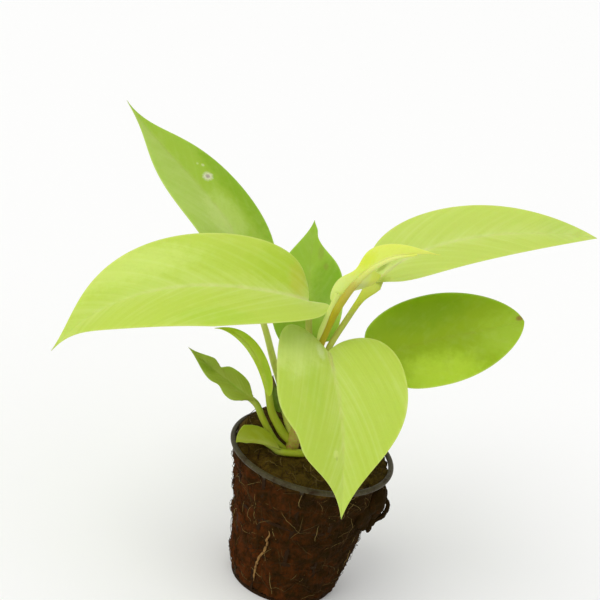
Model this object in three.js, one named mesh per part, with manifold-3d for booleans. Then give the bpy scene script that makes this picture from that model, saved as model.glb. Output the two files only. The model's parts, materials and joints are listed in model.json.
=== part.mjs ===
import * as THREE from "three";
import { mergeVertices } from "three/addons/utils/BufferGeometryUtils.js";
import Module from "manifold-3d";

// A young ceylon gold philodendron in a small net pot filled with coir.
// Millimetres, +Z up. The origin is the centre of the pot's base, on the surface that it stands on,
// and -Y is the side that the photograph shows.

// Net pot
const POT_HEIGHT = 48;
const RIM_RADIUS = 26.5;
const RIM_WIRE = 0.95;
const RIM_SECTORS = 48;
const WALL_SECTORS = 36;
const WALL_TOP_RADIUS = 24.2;
const WALL_TOP_HEIGHT = 44;
const BASE_RADIUS = 17;
const BASE_THICKNESS = 1.2;
const RIB_COUNT = 12;
const RIB_WIDTH = 1.2;
const RIB_DEPTH = 1.2;
const HOOP_HEIGHTS = [16, 30];
const HOOP_WIDTH = 1.2;
const TOUCH_GAP = 0.3;

// Coir plug
const COIR_TOP = 46;
const COIR_ROUGHNESS = 0.45;
const COIR_MOUND = 4;
const COIR_WALL_RINGS = 6;
const COIR_TOP_SHARES = [0.93, 0.7, 0.4];
const LOOSE_CLUMP = { angleDeg: -15, height: 38, out: 2, size: [3.4, 5.5, 6.6] };
const BACK_MOUND = { angleDeg: 158, height: 45.5, out: -8, size: [9, 14, 8] };

// Stem
const STEM_FOOT = new THREE.Vector3(-6.6, -6.4, 40);
const STEM_TOP = new THREE.Vector3(-6, -6, 81);
const STEM_FOOT_RADIUS = 2.2;
const STEM_TOP_RADIUS = 1.5;
const STEM_SIDES = 10;

// Blades and stalks
const BLADE_THICKNESS = 0.7;
const ROW_FAN = 1.5;
const STALK_SIDES = 6;
const RIDGE_SHARE = 0.8;
const RIDGE_TIP_RADIUS = 0.35;
const RIDGE_SINK = 0.8;
const RIGHT_WAVE_PHASE = 1.9;
const NOTCH_BACK = 1.3;
const NOTCH_OUT = 0.4;

// What a leaf has where its own entry gives nothing else, in millimetres and degrees. A pair of
// numbers is for the left and the right half of the blade, seen from its foot. sides is the share of
// halfWidth that a half has. widest is the share of the length where it is widest, and shoulder, taper
// and point are shares that shape the outline on to the tip. lobe is how far the basal lobe reaches
// back, or a tapered base where it is negative, lobeSide, lobeBack and lobeWide shape it, and lobeLift
// is how far it rises or sinks. fold lifts a half at the midrib, foldTip is the fold that it reaches at
// the tip, and curl bends it on towards its margin. dent takes a share of the width away around one
// place of the margin, or adds one where it is negative.
const PLAIN_LEAF = {
  widest: 0.33,
  shoulder: 0.6,
  taper: 0.3,
  point: 0.1,
  fold: 13,
  curl: -13,
  lobe: 0.3,
  lobeSide: 0.5,
  lobeBack: 1,
  lobeWide: 1,
  lobeLift: 0,
  sides: 1,
  dent: 0,
  dentAt: 0.5,
  dentSize: 0.08,
  wave: 0,
  waves: 0,
  footRadius: 1,
  stalkRadius: 0.8,
  lobeRows: 5,
  tipRows: 8,
  halfColumns: 4,
  stalkSteps: 14,
};

// A small leaf is split into fewer faces.
const SMALL_LEAF = { lobeRows: 3, tipRows: 6, halfColumns: 3, stalkSteps: 10 };

// stalk runs from the leaf's foot at the stem to the blade, and rib is the cubic curve of the midrib.
// faces gives the way that the upper side looks at the blade's base and at its tip.
const LEAVES = {
  leaf_left_large: {
    stalk: [[-8.2, -4.4, 76], [-8.6, -3.8, 83], [-10.2, -3.6, 90]],
    rib: [[-12, -5.8, 99], [-24, -15, 103.5], [-65.5, -18, 104], [-83, -22.5, 70]],
    faces: [[-0.2, -0.6, 0.85], [-0.3, -0.55, 0.75]],
    halfWidth: 18,
    lobe: [10.8, 1],
    widest: 0.35,
    shoulder: 0.66,
    fold: [20, 17],
    curl: [-11, -18],
    lobeSide: [-0.3, 0.8],
    lobeBack: [0.2, 1],
    lobeWide: [0.75, 1],
    lobeLift: [6, -0.7],
    footRadius: 1.1,
    stalkRadius: 1,
    color: 0xc3d764,
  },
  leaf_upper_left: {
    stalk: [[-9.2, -3.6, 56], [-12.3, -2.2, 63], [-14.7, -0.8, 67.5], [-18.6, 1, 74], [-24, 3, 84]],
    rib: [[-34.5, 6, 100.5], [-38, 13.5, 113.5], [-70, 25, 123], [-83.5, 29.5, 136]],
    faces: [[0.35, -0.35, 0.95], [0.2, -0.45, 0.75]],
    halfWidth: 14,
    lobe: 7.4,
    widest: 0.27,
    taper: 0.35,
    point: 0.07,
    fold: [11, 12],
    curl: [-9, -20],
    lobeSide: 0.7,
    lobeLift: -0.5,
    footRadius: 1.4,
    color: 0xa5b93a,
  },
  leaf_back: {
    stalk: [[-5.7, -3.2, 66], [-6.2, 0, 75]],
    rib: [[-9.8, 3.9, 85], [-13.5, 7, 91], [-13.2, 15, 94], [-16.7, 18.8, 116]],
    faces: [[-0.04, -0.86, 0.42], [-0.08, -0.95, 0.47]],
    halfWidth: 11.4,
    lobe: 6,
    widest: 0.31,
    shoulder: [0.51, 0.68],
    taper: [0.3, 0.5],
    point: [0.2, 0.12],
    dent: [0, -1.4],
    dentAt: 0.94,
    dentSize: 0.05,
    fold: [10, 9],
    lobeSide: 0.75,
    color: 0x8caf28,
  },
  leaf_front_heart: {
    stalk: [[-4, -8.6, 68], [-2.6, -9.2, 77]],
    rib: [[-2.6, -9.4, 85.9], [6.3, -27.6, 78], [9.1, -32.5, 67.5], [13, -38.7, 48]],
    faces: [[0.3, -0.89, 0.39], [-0.04, -0.58, 0.39]],
    halfWidth: 21,
    lobe: [5.5, 12],
    lobeWide: [1, 0.82],
    widest: [0.23, 0.3],
    shoulder: [0.5, 0.58],
    taper: [0.45, 0.5],
    point: [0.28, 0.14],
    fold: [10, 22],
    curl: [-9, -1],
    lobeSide: 0.93,
    lobeLift: -1.2,
    footRadius: 1.1,
    stalkRadius: 0.9,
    color: 0xb9d15a,
  },
  leaf_right_upper: {
    stalk: [[-3.4, -5.4, 79.5], [-2.6, -4.6, 85.5], [0.2, -2, 93.6], [3.6, 1, 102]],
    rib: [[5.8, 2.3, 106.8], [8.8, 9.2, 109.4], [22.3, 19.9, 126.5], [70, 26.2, 129.8]],
    faces: [[-0.3, -0.5, 0.65], [0.1, -0.6, 0.7]],
    halfWidth: 12.5,
    lobe: [-3, 0.5],
    widest: 0.3,
    shoulder: 0.5,
    taper: 0.05,
    fold: [9, 22],
    curl: [-10, -6],
    lobeSide: 0.4,
    stalkRadius: 0.9,
    color: 0xc8da70,
  },
  leaf_right_lower: {
    stalk: [[-3.2, -5.5, 61], [1.6, -3, 69], [8, 1.5, 77.5]],
    rib: [[14.5, 4.7, 82.3], [21, 7, 88.5], [33.5, 14.7, 90], [55, 20, 99.5]],
    faces: [[0, -0.85, 0.5], [-0.1, -0.62, 0.53]],
    halfWidth: 14.6,
    lobe: 4.5,
    widest: 0.39,
    shoulder: 0.52,
    taper: 0.05,
    point: 0.46,
    fold: [13, 8],
    curl: [-19, -20],
    lobeSide: 0.65,
    stalkRadius: 0.9,
    color: 0x7fa40a,
  },
  leaf_new: {
    stalk: [[-5.9, -6, 81.4], [-5.2, -6.1, 87.5], [-4.2, -6.7, 94.2]],
    rib: [[-2.4, -7.8, 103.3], [1.4, -8, 113.6], [5.8, -8.4, 122.4], [22.6, -8, 124]],
    faces: [[-0.2, 0.9, 0.3], [0, 0, 1]],
    halfWidth: 5,
    sides: [0.5, 0.96],
    lobe: [-8, 4],
    lobeWide: [1, 1.15],
    lobeRows: 9,
    widest: [0.5, 0.4],
    shoulder: 0.4,
    taper: 0.3,
    point: 0.1,
    dent: [-6, 0.5],
    dentAt: [0.28, 0.27],
    dentSize: [0.055, 0.12],
    fold: [0, 20],
    foldTip: [55, 100],
    curl: 10,
    lobeSide: 0.7,
    footRadius: 1.2,
    stalkRadius: 1.2,
    tipRows: 16,
    color: 0xd7e35a,
  },
  leaf_small_left: {
    ...SMALL_LEAF,
    stalk: [[-9.6, -7.4, 49.6], [-12.3, -7, 51.2], [-17.2, -6, 56.6]],
    rib: [[-20.5, -5.1, 61.4], [-23.6, -5.1, 62.4], [-38.7, -5, 69.9], [-44.8, -5.8, 74.5]],
    faces: [[0.14, -0.67, 0.64], [0.08, -0.65, 0.63]],
    halfWidth: 4.4,
    lobe: [-4, -3],
    lobeSide: 0.2,
    widest: 0.3,
    shoulder: 0.6,
    taper: 0.3,
    point: 0.2,
    dent: [0.25, 0.5],
    dentAt: [0.47, 0.58],
    dentSize: [0.08, 0.06],
    tipRows: 12,
    wave: 0.4,
    waves: 2.5,
    stalkRadius: 1.1,
    color: 0x8a9e32,
  },
  leaf_narrow_left: {
    ...SMALL_LEAF,
    stalk: [[-10, -6, 53.5], [-12.4, -5.7, 56], [-15.2, -5.3, 59.6]],
    rib: [[-18, -4.8, 65], [-18.9, -4.2, 71], [-27.5, -4, 85.5], [-38.5, -2, 81]],
    faces: [[-0.27, -0.82, 0.15], [-0.18, -0.7, 0.67]],
    halfWidth: 2.3,
    sides: [0.6, 1.15],
    lobe: [-0.5, 1],
    lobeSide: 1,
    widest: [0.5, 0.35],
    point: 0.3,
    fold: 12,
    curl: -18,
    footRadius: 1.5,
    stalkRadius: 1.1,
    color: 0x91ac1e,
  },
  leaf_at_rim: {
    ...SMALL_LEAF,
    stalk: [[-2.5, -9.6, 50.4], [-5.9, -10.6, 50.1]],
    rib: [[-9.5, -10.4, 50.1], [-14.4, -12, 53], [-20.3, -13.5, 54.5], [-23.4, -14.5, 51]],
    faces: [[0, -0.45, 0.85], [-0.2, -0.6, 0.7]],
    halfWidth: 4.6,
    sides: [0.3, 1],
    lobe: -3,
    lobeSide: 0.3,
    widest: 0.78,
    shoulder: 0.1,
    taper: 0.5,
    point: 0.55,
    fold: [-30, 14],
    curl: [-15, -18],
    footRadius: 1.1,
    stalkRadius: 1.1,
    color: 0x73870f,
  },
  sheath_dried: {
    ...SMALL_LEAF,
    stalk: [[-10.2, -1.7, 56.5]],
    rib: [[-12.5, -0.4, 58], [-15, 0.2, 62], [-17.2, 0.8, 65], [-17.7, 1.2, 69]],
    faces: [[-0.4, -0.85, 0.1], [-0.2, -0.9, 0.2]],
    halfWidth: 1.2,
    point: 0.4,
    curl: 20,
    footRadius: 0.5,
    stalkRadius: 0.5,
    color: 0x5f2f22,
  },
};

// A root that came out between the ribs and runs down over the coir
const ROOT_RADIUS = 0.4;
const ROOT_OUT = 1;
const ROOT_TOP = { angleDeg: -109, height: 27 };
const ROOT_FOOT = { angleDeg: -117, height: 5 };
const ROOT_SWAY_DEG = 2;

const wasm = await Module();
wasm.setup();

function solidOf(geometry) {
  const bare = geometry.clone();
  bare.deleteAttribute("normal");
  bare.deleteAttribute("uv");
  const merged = mergeVertices(bare, 1e-4);
  return new wasm.Manifold(
    new wasm.Mesh({
      numProp: 3,
      vertProperties: new Float32Array(merged.attributes.position.array),
      triVerts: new Uint32Array(merged.index.array),
    }),
  );
}

function geometryOf(solid) {
  const { vertProperties, triVerts } = solid.getMesh();
  const geometry = new THREE.BufferGeometry();
  geometry.setAttribute("position", new THREE.BufferAttribute(vertProperties, 3));
  geometry.setIndex(new THREE.BufferAttribute(triVerts, 1));
  geometry.computeVertexNormals();
  return geometry;
}

function geometryFrom(points, faces) {
  const geometry = new THREE.BufferGeometry().setFromPoints(points);
  geometry.setIndex(faces);
  return geometry;
}

function vector([x, y, z]) {
  return new THREE.Vector3(x, y, z);
}

// A closed skin over rings of points that run counter-clockwise seen from the last ring, with a fan of
// triangles to the middle of each end ring.
function skinOver(rings) {
  const count = rings[0].length;
  const points = rings.flat();
  const faces = [];
  for (let ring = 0; ring + 1 < rings.length; ring += 1) {
    for (let i = 0; i < count; i += 1) {
      const near = ring * count + i;
      const next = ring * count + ((i + 1) % count);
      faces.push(near, next, next + count, near, next + count, near + count);
    }
  }
  const lastStart = (rings.length - 1) * count;
  const footMiddle = points.push(middleOf(rings[0])) - 1;
  const topMiddle = points.push(middleOf(rings.at(-1))) - 1;
  for (let i = 0; i < count; i += 1) {
    const next = (i + 1) % count;
    faces.push(footMiddle, next, i);
    faces.push(topMiddle, lastStart + i, lastStart + next);
  }
  return geometryFrom(points, faces);
}

function middleOf(points) {
  const sum = points.reduce((total, point) => total.add(point), new THREE.Vector3());
  return sum.divideScalar(points.length);
}

// A round rod along a curve, with a radius that follows the share of its length.
function rodAlong(curve, radiusAt, steps, sides) {
  const frames = curve.computeFrenetFrames(steps, false);
  const rings = [];
  for (let step = 0; step <= steps; step += 1) {
    const share = step / steps;
    const centre = curve.getPointAt(share);
    const radius = radiusAt(share);
    const ring = [];
    for (let side = 0; side < sides; side += 1) {
      const angle = (2 * Math.PI * side) / sides;
      const point = centre.clone();
      point.addScaledVector(frames.normals[step], radius * Math.cos(angle));
      point.addScaledVector(frames.binormals[step], radius * Math.sin(angle));
      ring.push(point);
    }
    rings.push(ring);
  }
  return skinOver(rings);
}

// The pot's wall slopes straight out from its base to its top.
function wallRadiusAt(height) {
  return THREE.MathUtils.mapLinear(height, 0, WALL_TOP_HEIGHT, BASE_RADIUS, WALL_TOP_RADIUS);
}

// A closed ring with a flat section, from a low to a high height and an inner to an outer radius.
function flatRing(low, high, innerAt, outerAt) {
  const profile = [
    new THREE.Vector2(innerAt(low), low),
    new THREE.Vector2(outerAt(low), low),
    new THREE.Vector2(outerAt(high), high),
    new THREE.Vector2(innerAt(high), high),
    new THREE.Vector2(innerAt(low), low),
  ];
  return new THREE.LatheGeometry(profile, WALL_SECTORS).rotateX(Math.PI / 2);
}

function potRib(grow) {
  const ringRadius = RIM_RADIUS - RIM_WIRE;
  const ringHeight = POT_HEIGHT - RIM_WIRE;
  const outline = new THREE.Shape([
    new THREE.Vector2(BASE_RADIUS - RIB_DEPTH - grow, 0),
    new THREE.Vector2(BASE_RADIUS + grow, 0),
    new THREE.Vector2(WALL_TOP_RADIUS + grow, WALL_TOP_HEIGHT),
    new THREE.Vector2(ringRadius, ringHeight - RIM_WIRE / 2),
    new THREE.Vector2(ringRadius, ringHeight + RIM_WIRE / 2),
    new THREE.Vector2(WALL_TOP_RADIUS - RIB_DEPTH - grow, WALL_TOP_HEIGHT + grow),
  ]);
  const width = RIB_WIDTH + 2 * grow;
  const rib = new THREE.ExtrudeGeometry(outline, { depth: width, bevelEnabled: false });
  return rib.rotateX(Math.PI / 2).translate(0, width / 2, 0);
}

// The basket: base disc, hoops, ribs and rim ring in one. grow makes it thicker all round, for the
// space that the coir leaves it.
function netPot(grow) {
  const disc = [
    new THREE.Vector2(0, 0),
    new THREE.Vector2(BASE_RADIUS, 0),
    new THREE.Vector2(BASE_RADIUS, BASE_THICKNESS + grow),
    new THREE.Vector2(0, BASE_THICKNESS + grow),
  ];
  let pot = solidOf(new THREE.LatheGeometry(disc, WALL_SECTORS).rotateX(Math.PI / 2));
  const ring = new THREE.TorusGeometry(RIM_RADIUS - RIM_WIRE, RIM_WIRE + grow, 6, RIM_SECTORS);
  pot = pot.add(solidOf(ring.translate(0, 0, POT_HEIGHT - RIM_WIRE)));
  for (const height of HOOP_HEIGHTS) {
    const low = height - HOOP_WIDTH / 2 - grow;
    const high = height + HOOP_WIDTH / 2 + grow;
    const inner = (z) => wallRadiusAt(z) - RIB_DEPTH - grow;
    const outer = (z) => wallRadiusAt(z) + grow;
    pot = pot.add(solidOf(flatRing(low, high, inner, outer)));
  }
  for (let i = 0; i < RIB_COUNT; i += 1) {
    const turn = THREE.MathUtils.degToRad((360 * i) / RIB_COUNT);
    pot = pot.add(solidOf(potRib(grow).rotateZ(turn)));
  }
  return pot;
}

// The uneven surface of the coir: two waves round the plug that shift with height
function coirWave(angle, height) {
  return Math.sin(5 * angle + 0.3 * height) + 0.7 * Math.sin(9 * angle - 0.45 * height + 1);
}

function coirRing(radius, height) {
  const ring = [];
  for (let i = 0; i < WALL_SECTORS; i += 1) {
    const angle = (2 * Math.PI * i) / WALL_SECTORS;
    const rough = COIR_ROUGHNESS * coirWave(angle, height);
    const around = radius + 0.5 * rough;
    ring.push(new THREE.Vector3(around * Math.cos(angle), around * Math.sin(angle), height + rough));
  }
  return ring;
}

function coirClump({ angleDeg, height, out, size }) {
  const angle = THREE.MathUtils.degToRad(angleDeg);
  const radius = wallRadiusAt(height) + out;
  const clump = new THREE.SphereGeometry(1, 12, 8).rotateX(Math.PI / 2).scale(...size);
  return clump.rotateZ(angle).translate(radius * Math.cos(angle), radius * Math.sin(angle), height);
}

// The coir fills the basket out to the wall between the ribs and the hoops, with a low mound on top
// and a plain hole for the stem.
function coirPlug() {
  const low = BASE_THICKNESS + 2 * TOUCH_GAP + COIR_ROUGHNESS;
  const rings = [];
  for (let i = 0; i <= COIR_WALL_RINGS; i += 1) {
    const height = THREE.MathUtils.lerp(low, COIR_TOP - 1, i / COIR_WALL_RINGS);
    rings.push(coirRing(wallRadiusAt(height) - COIR_ROUGHNESS, height));
  }
  for (const share of COIR_TOP_SHARES) {
    const height = COIR_TOP + COIR_MOUND * (COIR_TOP_SHARES[0] - share);
    rings.push(coirRing(share * wallRadiusAt(COIR_TOP), height));
  }
  let plug = solidOf(skinOver(rings));
  plug = plug.add(solidOf(coirClump(LOOSE_CLUMP))).add(solidOf(coirClump(BACK_MOUND)));
  return plug.subtract(netPot(TOUCH_GAP)).subtract(solidOf(mainStem(TOUCH_GAP)));
}

function mainStem(grow) {
  const foot = STEM_FOOT.clone().setZ(STEM_FOOT.z - grow);
  const line = new THREE.LineCurve3(foot, STEM_TOP);
  const radiusAt = (share) => THREE.MathUtils.lerp(STEM_FOOT_RADIUS, STEM_TOP_RADIUS, share) + grow;
  return rodAlong(line, radiusAt, 4, STEM_SIDES);
}

function onWall({ angleDeg, height }, out) {
  const radius = wallRadiusAt(height) + out;
  const angle = THREE.MathUtils.degToRad(angleDeg);
  return new THREE.Vector3(radius * Math.cos(angle), radius * Math.sin(angle), height);
}

function outerRoot() {
  const points = [];
  for (let i = 0; i <= 4; i += 1) {
    const share = i / 4;
    const sway = ROOT_SWAY_DEG * Math.sin(2 * Math.PI * share);
    const angleDeg = THREE.MathUtils.lerp(ROOT_TOP.angleDeg, ROOT_FOOT.angleDeg, share) + sway;
    const height = THREE.MathUtils.lerp(ROOT_TOP.height, ROOT_FOOT.height, share);
    points.push(onWall({ angleDeg, height }, ROOT_OUT));
  }
  return rodAlong(new THREE.CatmullRomCurve3(points), () => ROOT_RADIUS, 12, 6);
}

// A point of the midrib and its direction, at a distance from the blade's base. Past either end it
// goes straight on.
function ribAt(rib, length, distance) {
  const share = THREE.MathUtils.clamp(distance / length, 0, 1);
  const along = rib.getTangentAt(share);
  const point = rib.getPointAt(share).addScaledVector(along, distance - share * length);
  return { point, along, share };
}

// The values of a leaf's left or right half: 0 or 1 picks one out of each pair of numbers.
function halfOf(leaf, side) {
  const pick = (value) => (Number.isFinite(value[0]) ? value[side] : value);
  return Object.fromEntries(Object.entries(leaf).map(([key, value]) => [key, pick(value)]));
}

// Half of the outline, from the notch at the base round the lobe to the widest place and the tip
function halfOutline(leaf, length) {
  const width = leaf.halfWidth * leaf.sides;
  const widest = leaf.widest * length;
  const rest = length - widest;
  const round = new THREE.CubicBezierCurve(
    new THREE.Vector2(0, 0),
    new THREE.Vector2(-NOTCH_BACK * leaf.lobe, NOTCH_OUT * leaf.lobeSide * width),
    new THREE.Vector2(-leaf.lobeBack * leaf.lobe, leaf.lobeWide * width),
    new THREE.Vector2(widest, width),
  );
  const on = new THREE.CubicBezierCurve(
    new THREE.Vector2(widest, width),
    new THREE.Vector2(widest + leaf.shoulder * rest, width),
    new THREE.Vector2(length - leaf.taper * rest, leaf.point * width),
    new THREE.Vector2(length, 0),
  );
  const outline = [...round.getPoints(leaf.lobeRows), ...on.getPoints(leaf.tipRows).slice(1)];
  for (const edge of outline) {
    const off = (edge.x / length - leaf.dentAt) / leaf.dentSize;
    edge.y *= 1 - leaf.dent * Math.exp(-off * off);
  }
  return outline;
}

// The place of a blade point that lies a distance along the midrib and a distance out to one side.
function bladePoint(leaf, rib, length, distance, out, side) {
  const { point, along, share } = ribAt(rib, length, distance);
  const face = vector(leaf.faces[0]).lerp(vector(leaf.faces[1]), share);
  const up = face.addScaledVector(along, -face.dot(along)).normalize();
  const right = new THREE.Vector3().crossVectors(along, up);
  const foldTip = leaf.foldTip ?? leaf.fold;
  const fold = THREE.MathUtils.degToRad(THREE.MathUtils.lerp(leaf.fold, foldTip, share));
  const bend = THREE.MathUtils.degToRad(leaf.curl) / leaf.halfWidth;
  const turned = fold + bend * out;
  const across = (Math.sin(turned) - Math.sin(fold)) / bend;
  const edge = (out / leaf.halfWidth) ** 2;
  const phase = (2 * Math.PI * leaf.waves * distance) / length + (side > 0 ? RIGHT_WAVE_PHASE : 0);
  let lift = (Math.cos(fold) - Math.cos(turned)) / bend;
  lift += leaf.wave * Math.sin(phase) * edge;
  lift += leaf.lobeLift * (Math.min(distance, 0) / Math.max(leaf.lobe, 1)) ** 2;
  return point.addScaledVector(right, side * across).addScaledVector(up, lift);
}

// Rows of the blade's middle surface fan out from the midrib to the outline. The first and the last
// row are single points.
function bladeRows(leaf, rib, length) {
  const halves = [halfOf(leaf, 0), halfOf(leaf, 1)];
  const outlines = halves.map((half) => halfOutline(half, length));
  const last = outlines[0].length - 1;
  const rows = [];
  for (let row = 0; row <= last; row += 1) {
    const foot = length * (row / last) ** ROW_FAN;
    const points = [];
    for (let column = -leaf.halfColumns; column <= leaf.halfColumns; column += 1) {
      const side = column < 0 ? 0 : 1;
      const edge = outlines[side][row];
      const share = Math.abs(column) / leaf.halfColumns;
      const distance = THREE.MathUtils.lerp(foot, edge.x, share);
      points.push(bladePoint(halves[side], rib, length, distance, edge.y * share, Math.sign(column)));
    }
    rows.push(points);
  }
  return rows;
}

// The blade as a closed plate: its two faces are split into triangles alike, half a thickness to
// either side of the middle surface, and a strip closes the margin.
function bladePlate(rows) {
  const columns = rows[0].length;
  const last = rows.length - 1;
  const middle = [rows[0][0], ...rows.slice(1, last).flat(), rows[last][0]];
  const indexOf = (row, column) => {
    if (row === 0) return 0;
    if (row === last) return middle.length - 1;
    return 1 + (row - 1) * columns + column;
  };
  const faces = [];
  for (let row = 0; row < last; row += 1) {
    for (let column = 0; column + 1 < columns; column += 1) {
      const a = indexOf(row, column);
      const b = indexOf(row, column + 1);
      const c = indexOf(row + 1, column + 1);
      const d = indexOf(row + 1, column);
      const mirrored = 2 * column < columns - 1;
      const pair = mirrored ? [[a, b, c], [a, c, d]] : [[a, b, d], [b, c, d]];
      faces.push(...pair.filter((face) => new Set(face).size === 3));
    }
  }
  const sheet = geometryFrom(middle, faces.flat());
  sheet.computeVertexNormals();
  const normals = sheet.attributes.normal;
  const shifted = (amount) => middle.map((point, i) => {
    const normal = new THREE.Vector3().fromBufferAttribute(normals, i);
    return point.clone().addScaledVector(normal, amount);
  });
  const points = [...shifted(BLADE_THICKNESS / 2), ...shifted(-BLADE_THICKNESS / 2)];
  const under = middle.length;
  const closed = faces.flat();
  for (const [a, b, c] of faces) closed.push(under + a, under + c, under + b);
  for (let row = 0; row < last; row += 1) {
    const left = [indexOf(row, 0), indexOf(row + 1, 0)];
    const right = [indexOf(row + 1, columns - 1), indexOf(row, columns - 1)];
    for (const [from, to] of [left, right]) {
      closed.push(from, to, under + to, from, under + to, under + from);
    }
  }
  return geometryFrom(points, closed);
}

// The stalk runs into a ridge under the midrib, which thins out before the tip.
function stalkAndRidge(leaf, rib, length) {
  const ridge = [0, 0.25, 0.5, 0.75, 1].map((step) => {
    const share = step * RIDGE_SHARE;
    const radius = THREE.MathUtils.lerp(leaf.stalkRadius, RIDGE_TIP_RADIUS, step);
    const { point, along } = ribAt(rib, length, share * length);
    const face = vector(leaf.faces[0]).lerp(vector(leaf.faces[1]), share);
    const up = face.addScaledVector(along, -face.dot(along)).normalize();
    return point.addScaledVector(up, -RIDGE_SINK * radius);
  });
  const curve = new THREE.CatmullRomCurve3([...leaf.stalk.map(vector), ...ridge], false, "centripetal");
  const stalkCurve = new THREE.CatmullRomCurve3([...leaf.stalk.map(vector), ridge[0]]);
  const stalkShare = stalkCurve.getLength() / curve.getLength();
  const { lerp, mapLinear } = THREE.MathUtils;
  const radiusAt = (share) => {
    if (share < stalkShare) return lerp(leaf.footRadius, leaf.stalkRadius, share / stalkShare);
    return mapLinear(share, stalkShare, 1, leaf.stalkRadius, RIDGE_TIP_RADIUS);
  };
  return rodAlong(curve, radiusAt, leaf.stalkSteps, STALK_SIDES);
}

function wholeLeaf(entry) {
  const leaf = { ...PLAIN_LEAF, ...entry };
  const rib = new THREE.CubicBezierCurve3(...leaf.rib.map(vector));
  const length = rib.getLength();
  const plate = solidOf(bladePlate(bladeRows(leaf, rib, length)));
  return plate.add(solidOf(stalkAndRidge(leaf, rib, length)));
}

function named(name, solid, color, roughness) {
  const material = new THREE.MeshStandardMaterial({ color, roughness, metalness: 0 });
  const mesh = new THREE.Mesh(geometryOf(solid), material);
  mesh.name = name;
  return mesh;
}

const plant = new THREE.Group();
plant.add(named("net_pot", netPot(0), 0x5f5c4b, 0.5));
plant.add(named("coir_plug", coirPlug(), 0x30200c, 0.95));
plant.add(named("outer_root", solidOf(outerRoot()), 0x96694b, 0.8));
plant.add(named("main_stem", solidOf(mainStem(0)), 0x82781e, 0.55));
for (const [name, entry] of Object.entries(LEAVES)) {
  plant.add(named(name, wholeLeaf(entry), entry.color, 0.45));
}

export default plant;
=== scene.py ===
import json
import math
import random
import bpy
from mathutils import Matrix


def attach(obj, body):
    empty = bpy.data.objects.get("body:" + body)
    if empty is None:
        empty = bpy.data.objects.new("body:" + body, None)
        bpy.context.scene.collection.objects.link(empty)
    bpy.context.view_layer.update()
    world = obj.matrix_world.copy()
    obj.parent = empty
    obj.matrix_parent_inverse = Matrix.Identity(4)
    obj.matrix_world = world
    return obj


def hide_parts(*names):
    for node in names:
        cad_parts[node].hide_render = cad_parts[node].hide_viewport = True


bl_info = {
    "name": "Potted philodendron seedling",
    "version": (1, 0, 0),
    "blender": (4, 5, 0),
    "location": "3D View > Sidebar > Seedling",
    "description": "Leaves, stem, coir, root and net pot of a young philodendron, built round its frame",
    "category": "Object",
}

import bpy
import numpy as np
from bpy.props import FloatProperty, FloatVectorProperty, IntProperty, PointerProperty
from mathutils import Matrix, Vector, noise

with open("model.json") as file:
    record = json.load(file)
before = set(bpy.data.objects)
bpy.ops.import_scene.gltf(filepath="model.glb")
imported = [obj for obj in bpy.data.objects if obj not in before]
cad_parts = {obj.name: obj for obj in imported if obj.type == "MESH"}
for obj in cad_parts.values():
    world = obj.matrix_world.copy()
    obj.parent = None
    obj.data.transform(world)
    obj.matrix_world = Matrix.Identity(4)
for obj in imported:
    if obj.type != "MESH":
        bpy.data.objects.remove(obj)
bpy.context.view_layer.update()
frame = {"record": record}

# Shapes are worked out in millimetres, and Blender's own lengths and noise sizes are in metres.
MM = 0.001
SLOTS = {part["node"]: part["material_slot"] for part in frame["record"]["subparts"]}
X, Y, Z = np.eye(3)

# Camera: its place in metres, the directions of its right, up and view in the frame, its lens and
# sensor in millimetres, and how near and far it sees in metres
CAMERA_PLACE = (0, -0.397326, 0.259262)
CAMERA_RIGHT = (0.96972294, 0.12267194, 0.21116112)
CAMERA_UP = (-0.24177908, 0.36062865, 0.90082731)
CAMERA_VIEW = (-0.03435549, 0.92460725, -0.37936939)
CAMERA_LENS = 84.51
CAMERA_SENSOR = 36
CAMERA_CLIP = (0.01, 50)

# The way that the main light comes from
KEY_FROM = (-0.5, -0.45, 0.85)

# How finely a midrib is measured, and a curve between two of its points
CURVE_STEPS = 400
STEPS_BETWEEN = 24

# Fixed values of the leaf shape, the same as in the frame's source
ROW_FAN = 1.5
NOTCH_BACK = 1.3
NOTCH_OUT = 0.4
RIGHT_WAVE_PHASE = 1.9
RIDGE_SHARE = 0.8
RIDGE_TIP_RADIUS = 0.35

# How far the ridge lies under the blade's middle, as a share of its radius
RIDGE_SINK = 1.1

# The half-width in millimetres from which a leaf has its side veins at full spacing
VEINED_HALF_WIDTH = 12
# How far side veins slant towards the tip for each millimetre out, at the midrib and more at the margin
VEIN_LEAN = 1.5
VEIN_SWEEP = 0.6
# How much of the quilting lies under the blade's plain face
VEIN_DEPTH = 0.6
# The share of its thickness that the blade loses at its margin, and how sharply
MARGIN_LOSS = 0.65
MARGIN_POWER = 8


def patch(run, out, reach_run, reach_out, strength, shade):
    """A soft area: its place as a share along the midrib and in millimetres out to the right, its reach
    along and out in millimetres, and how strongly it takes a shade."""
    return {"at": (run, out), "reach": (reach_run, reach_out), "strength": strength, "shade": shade}


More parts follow.
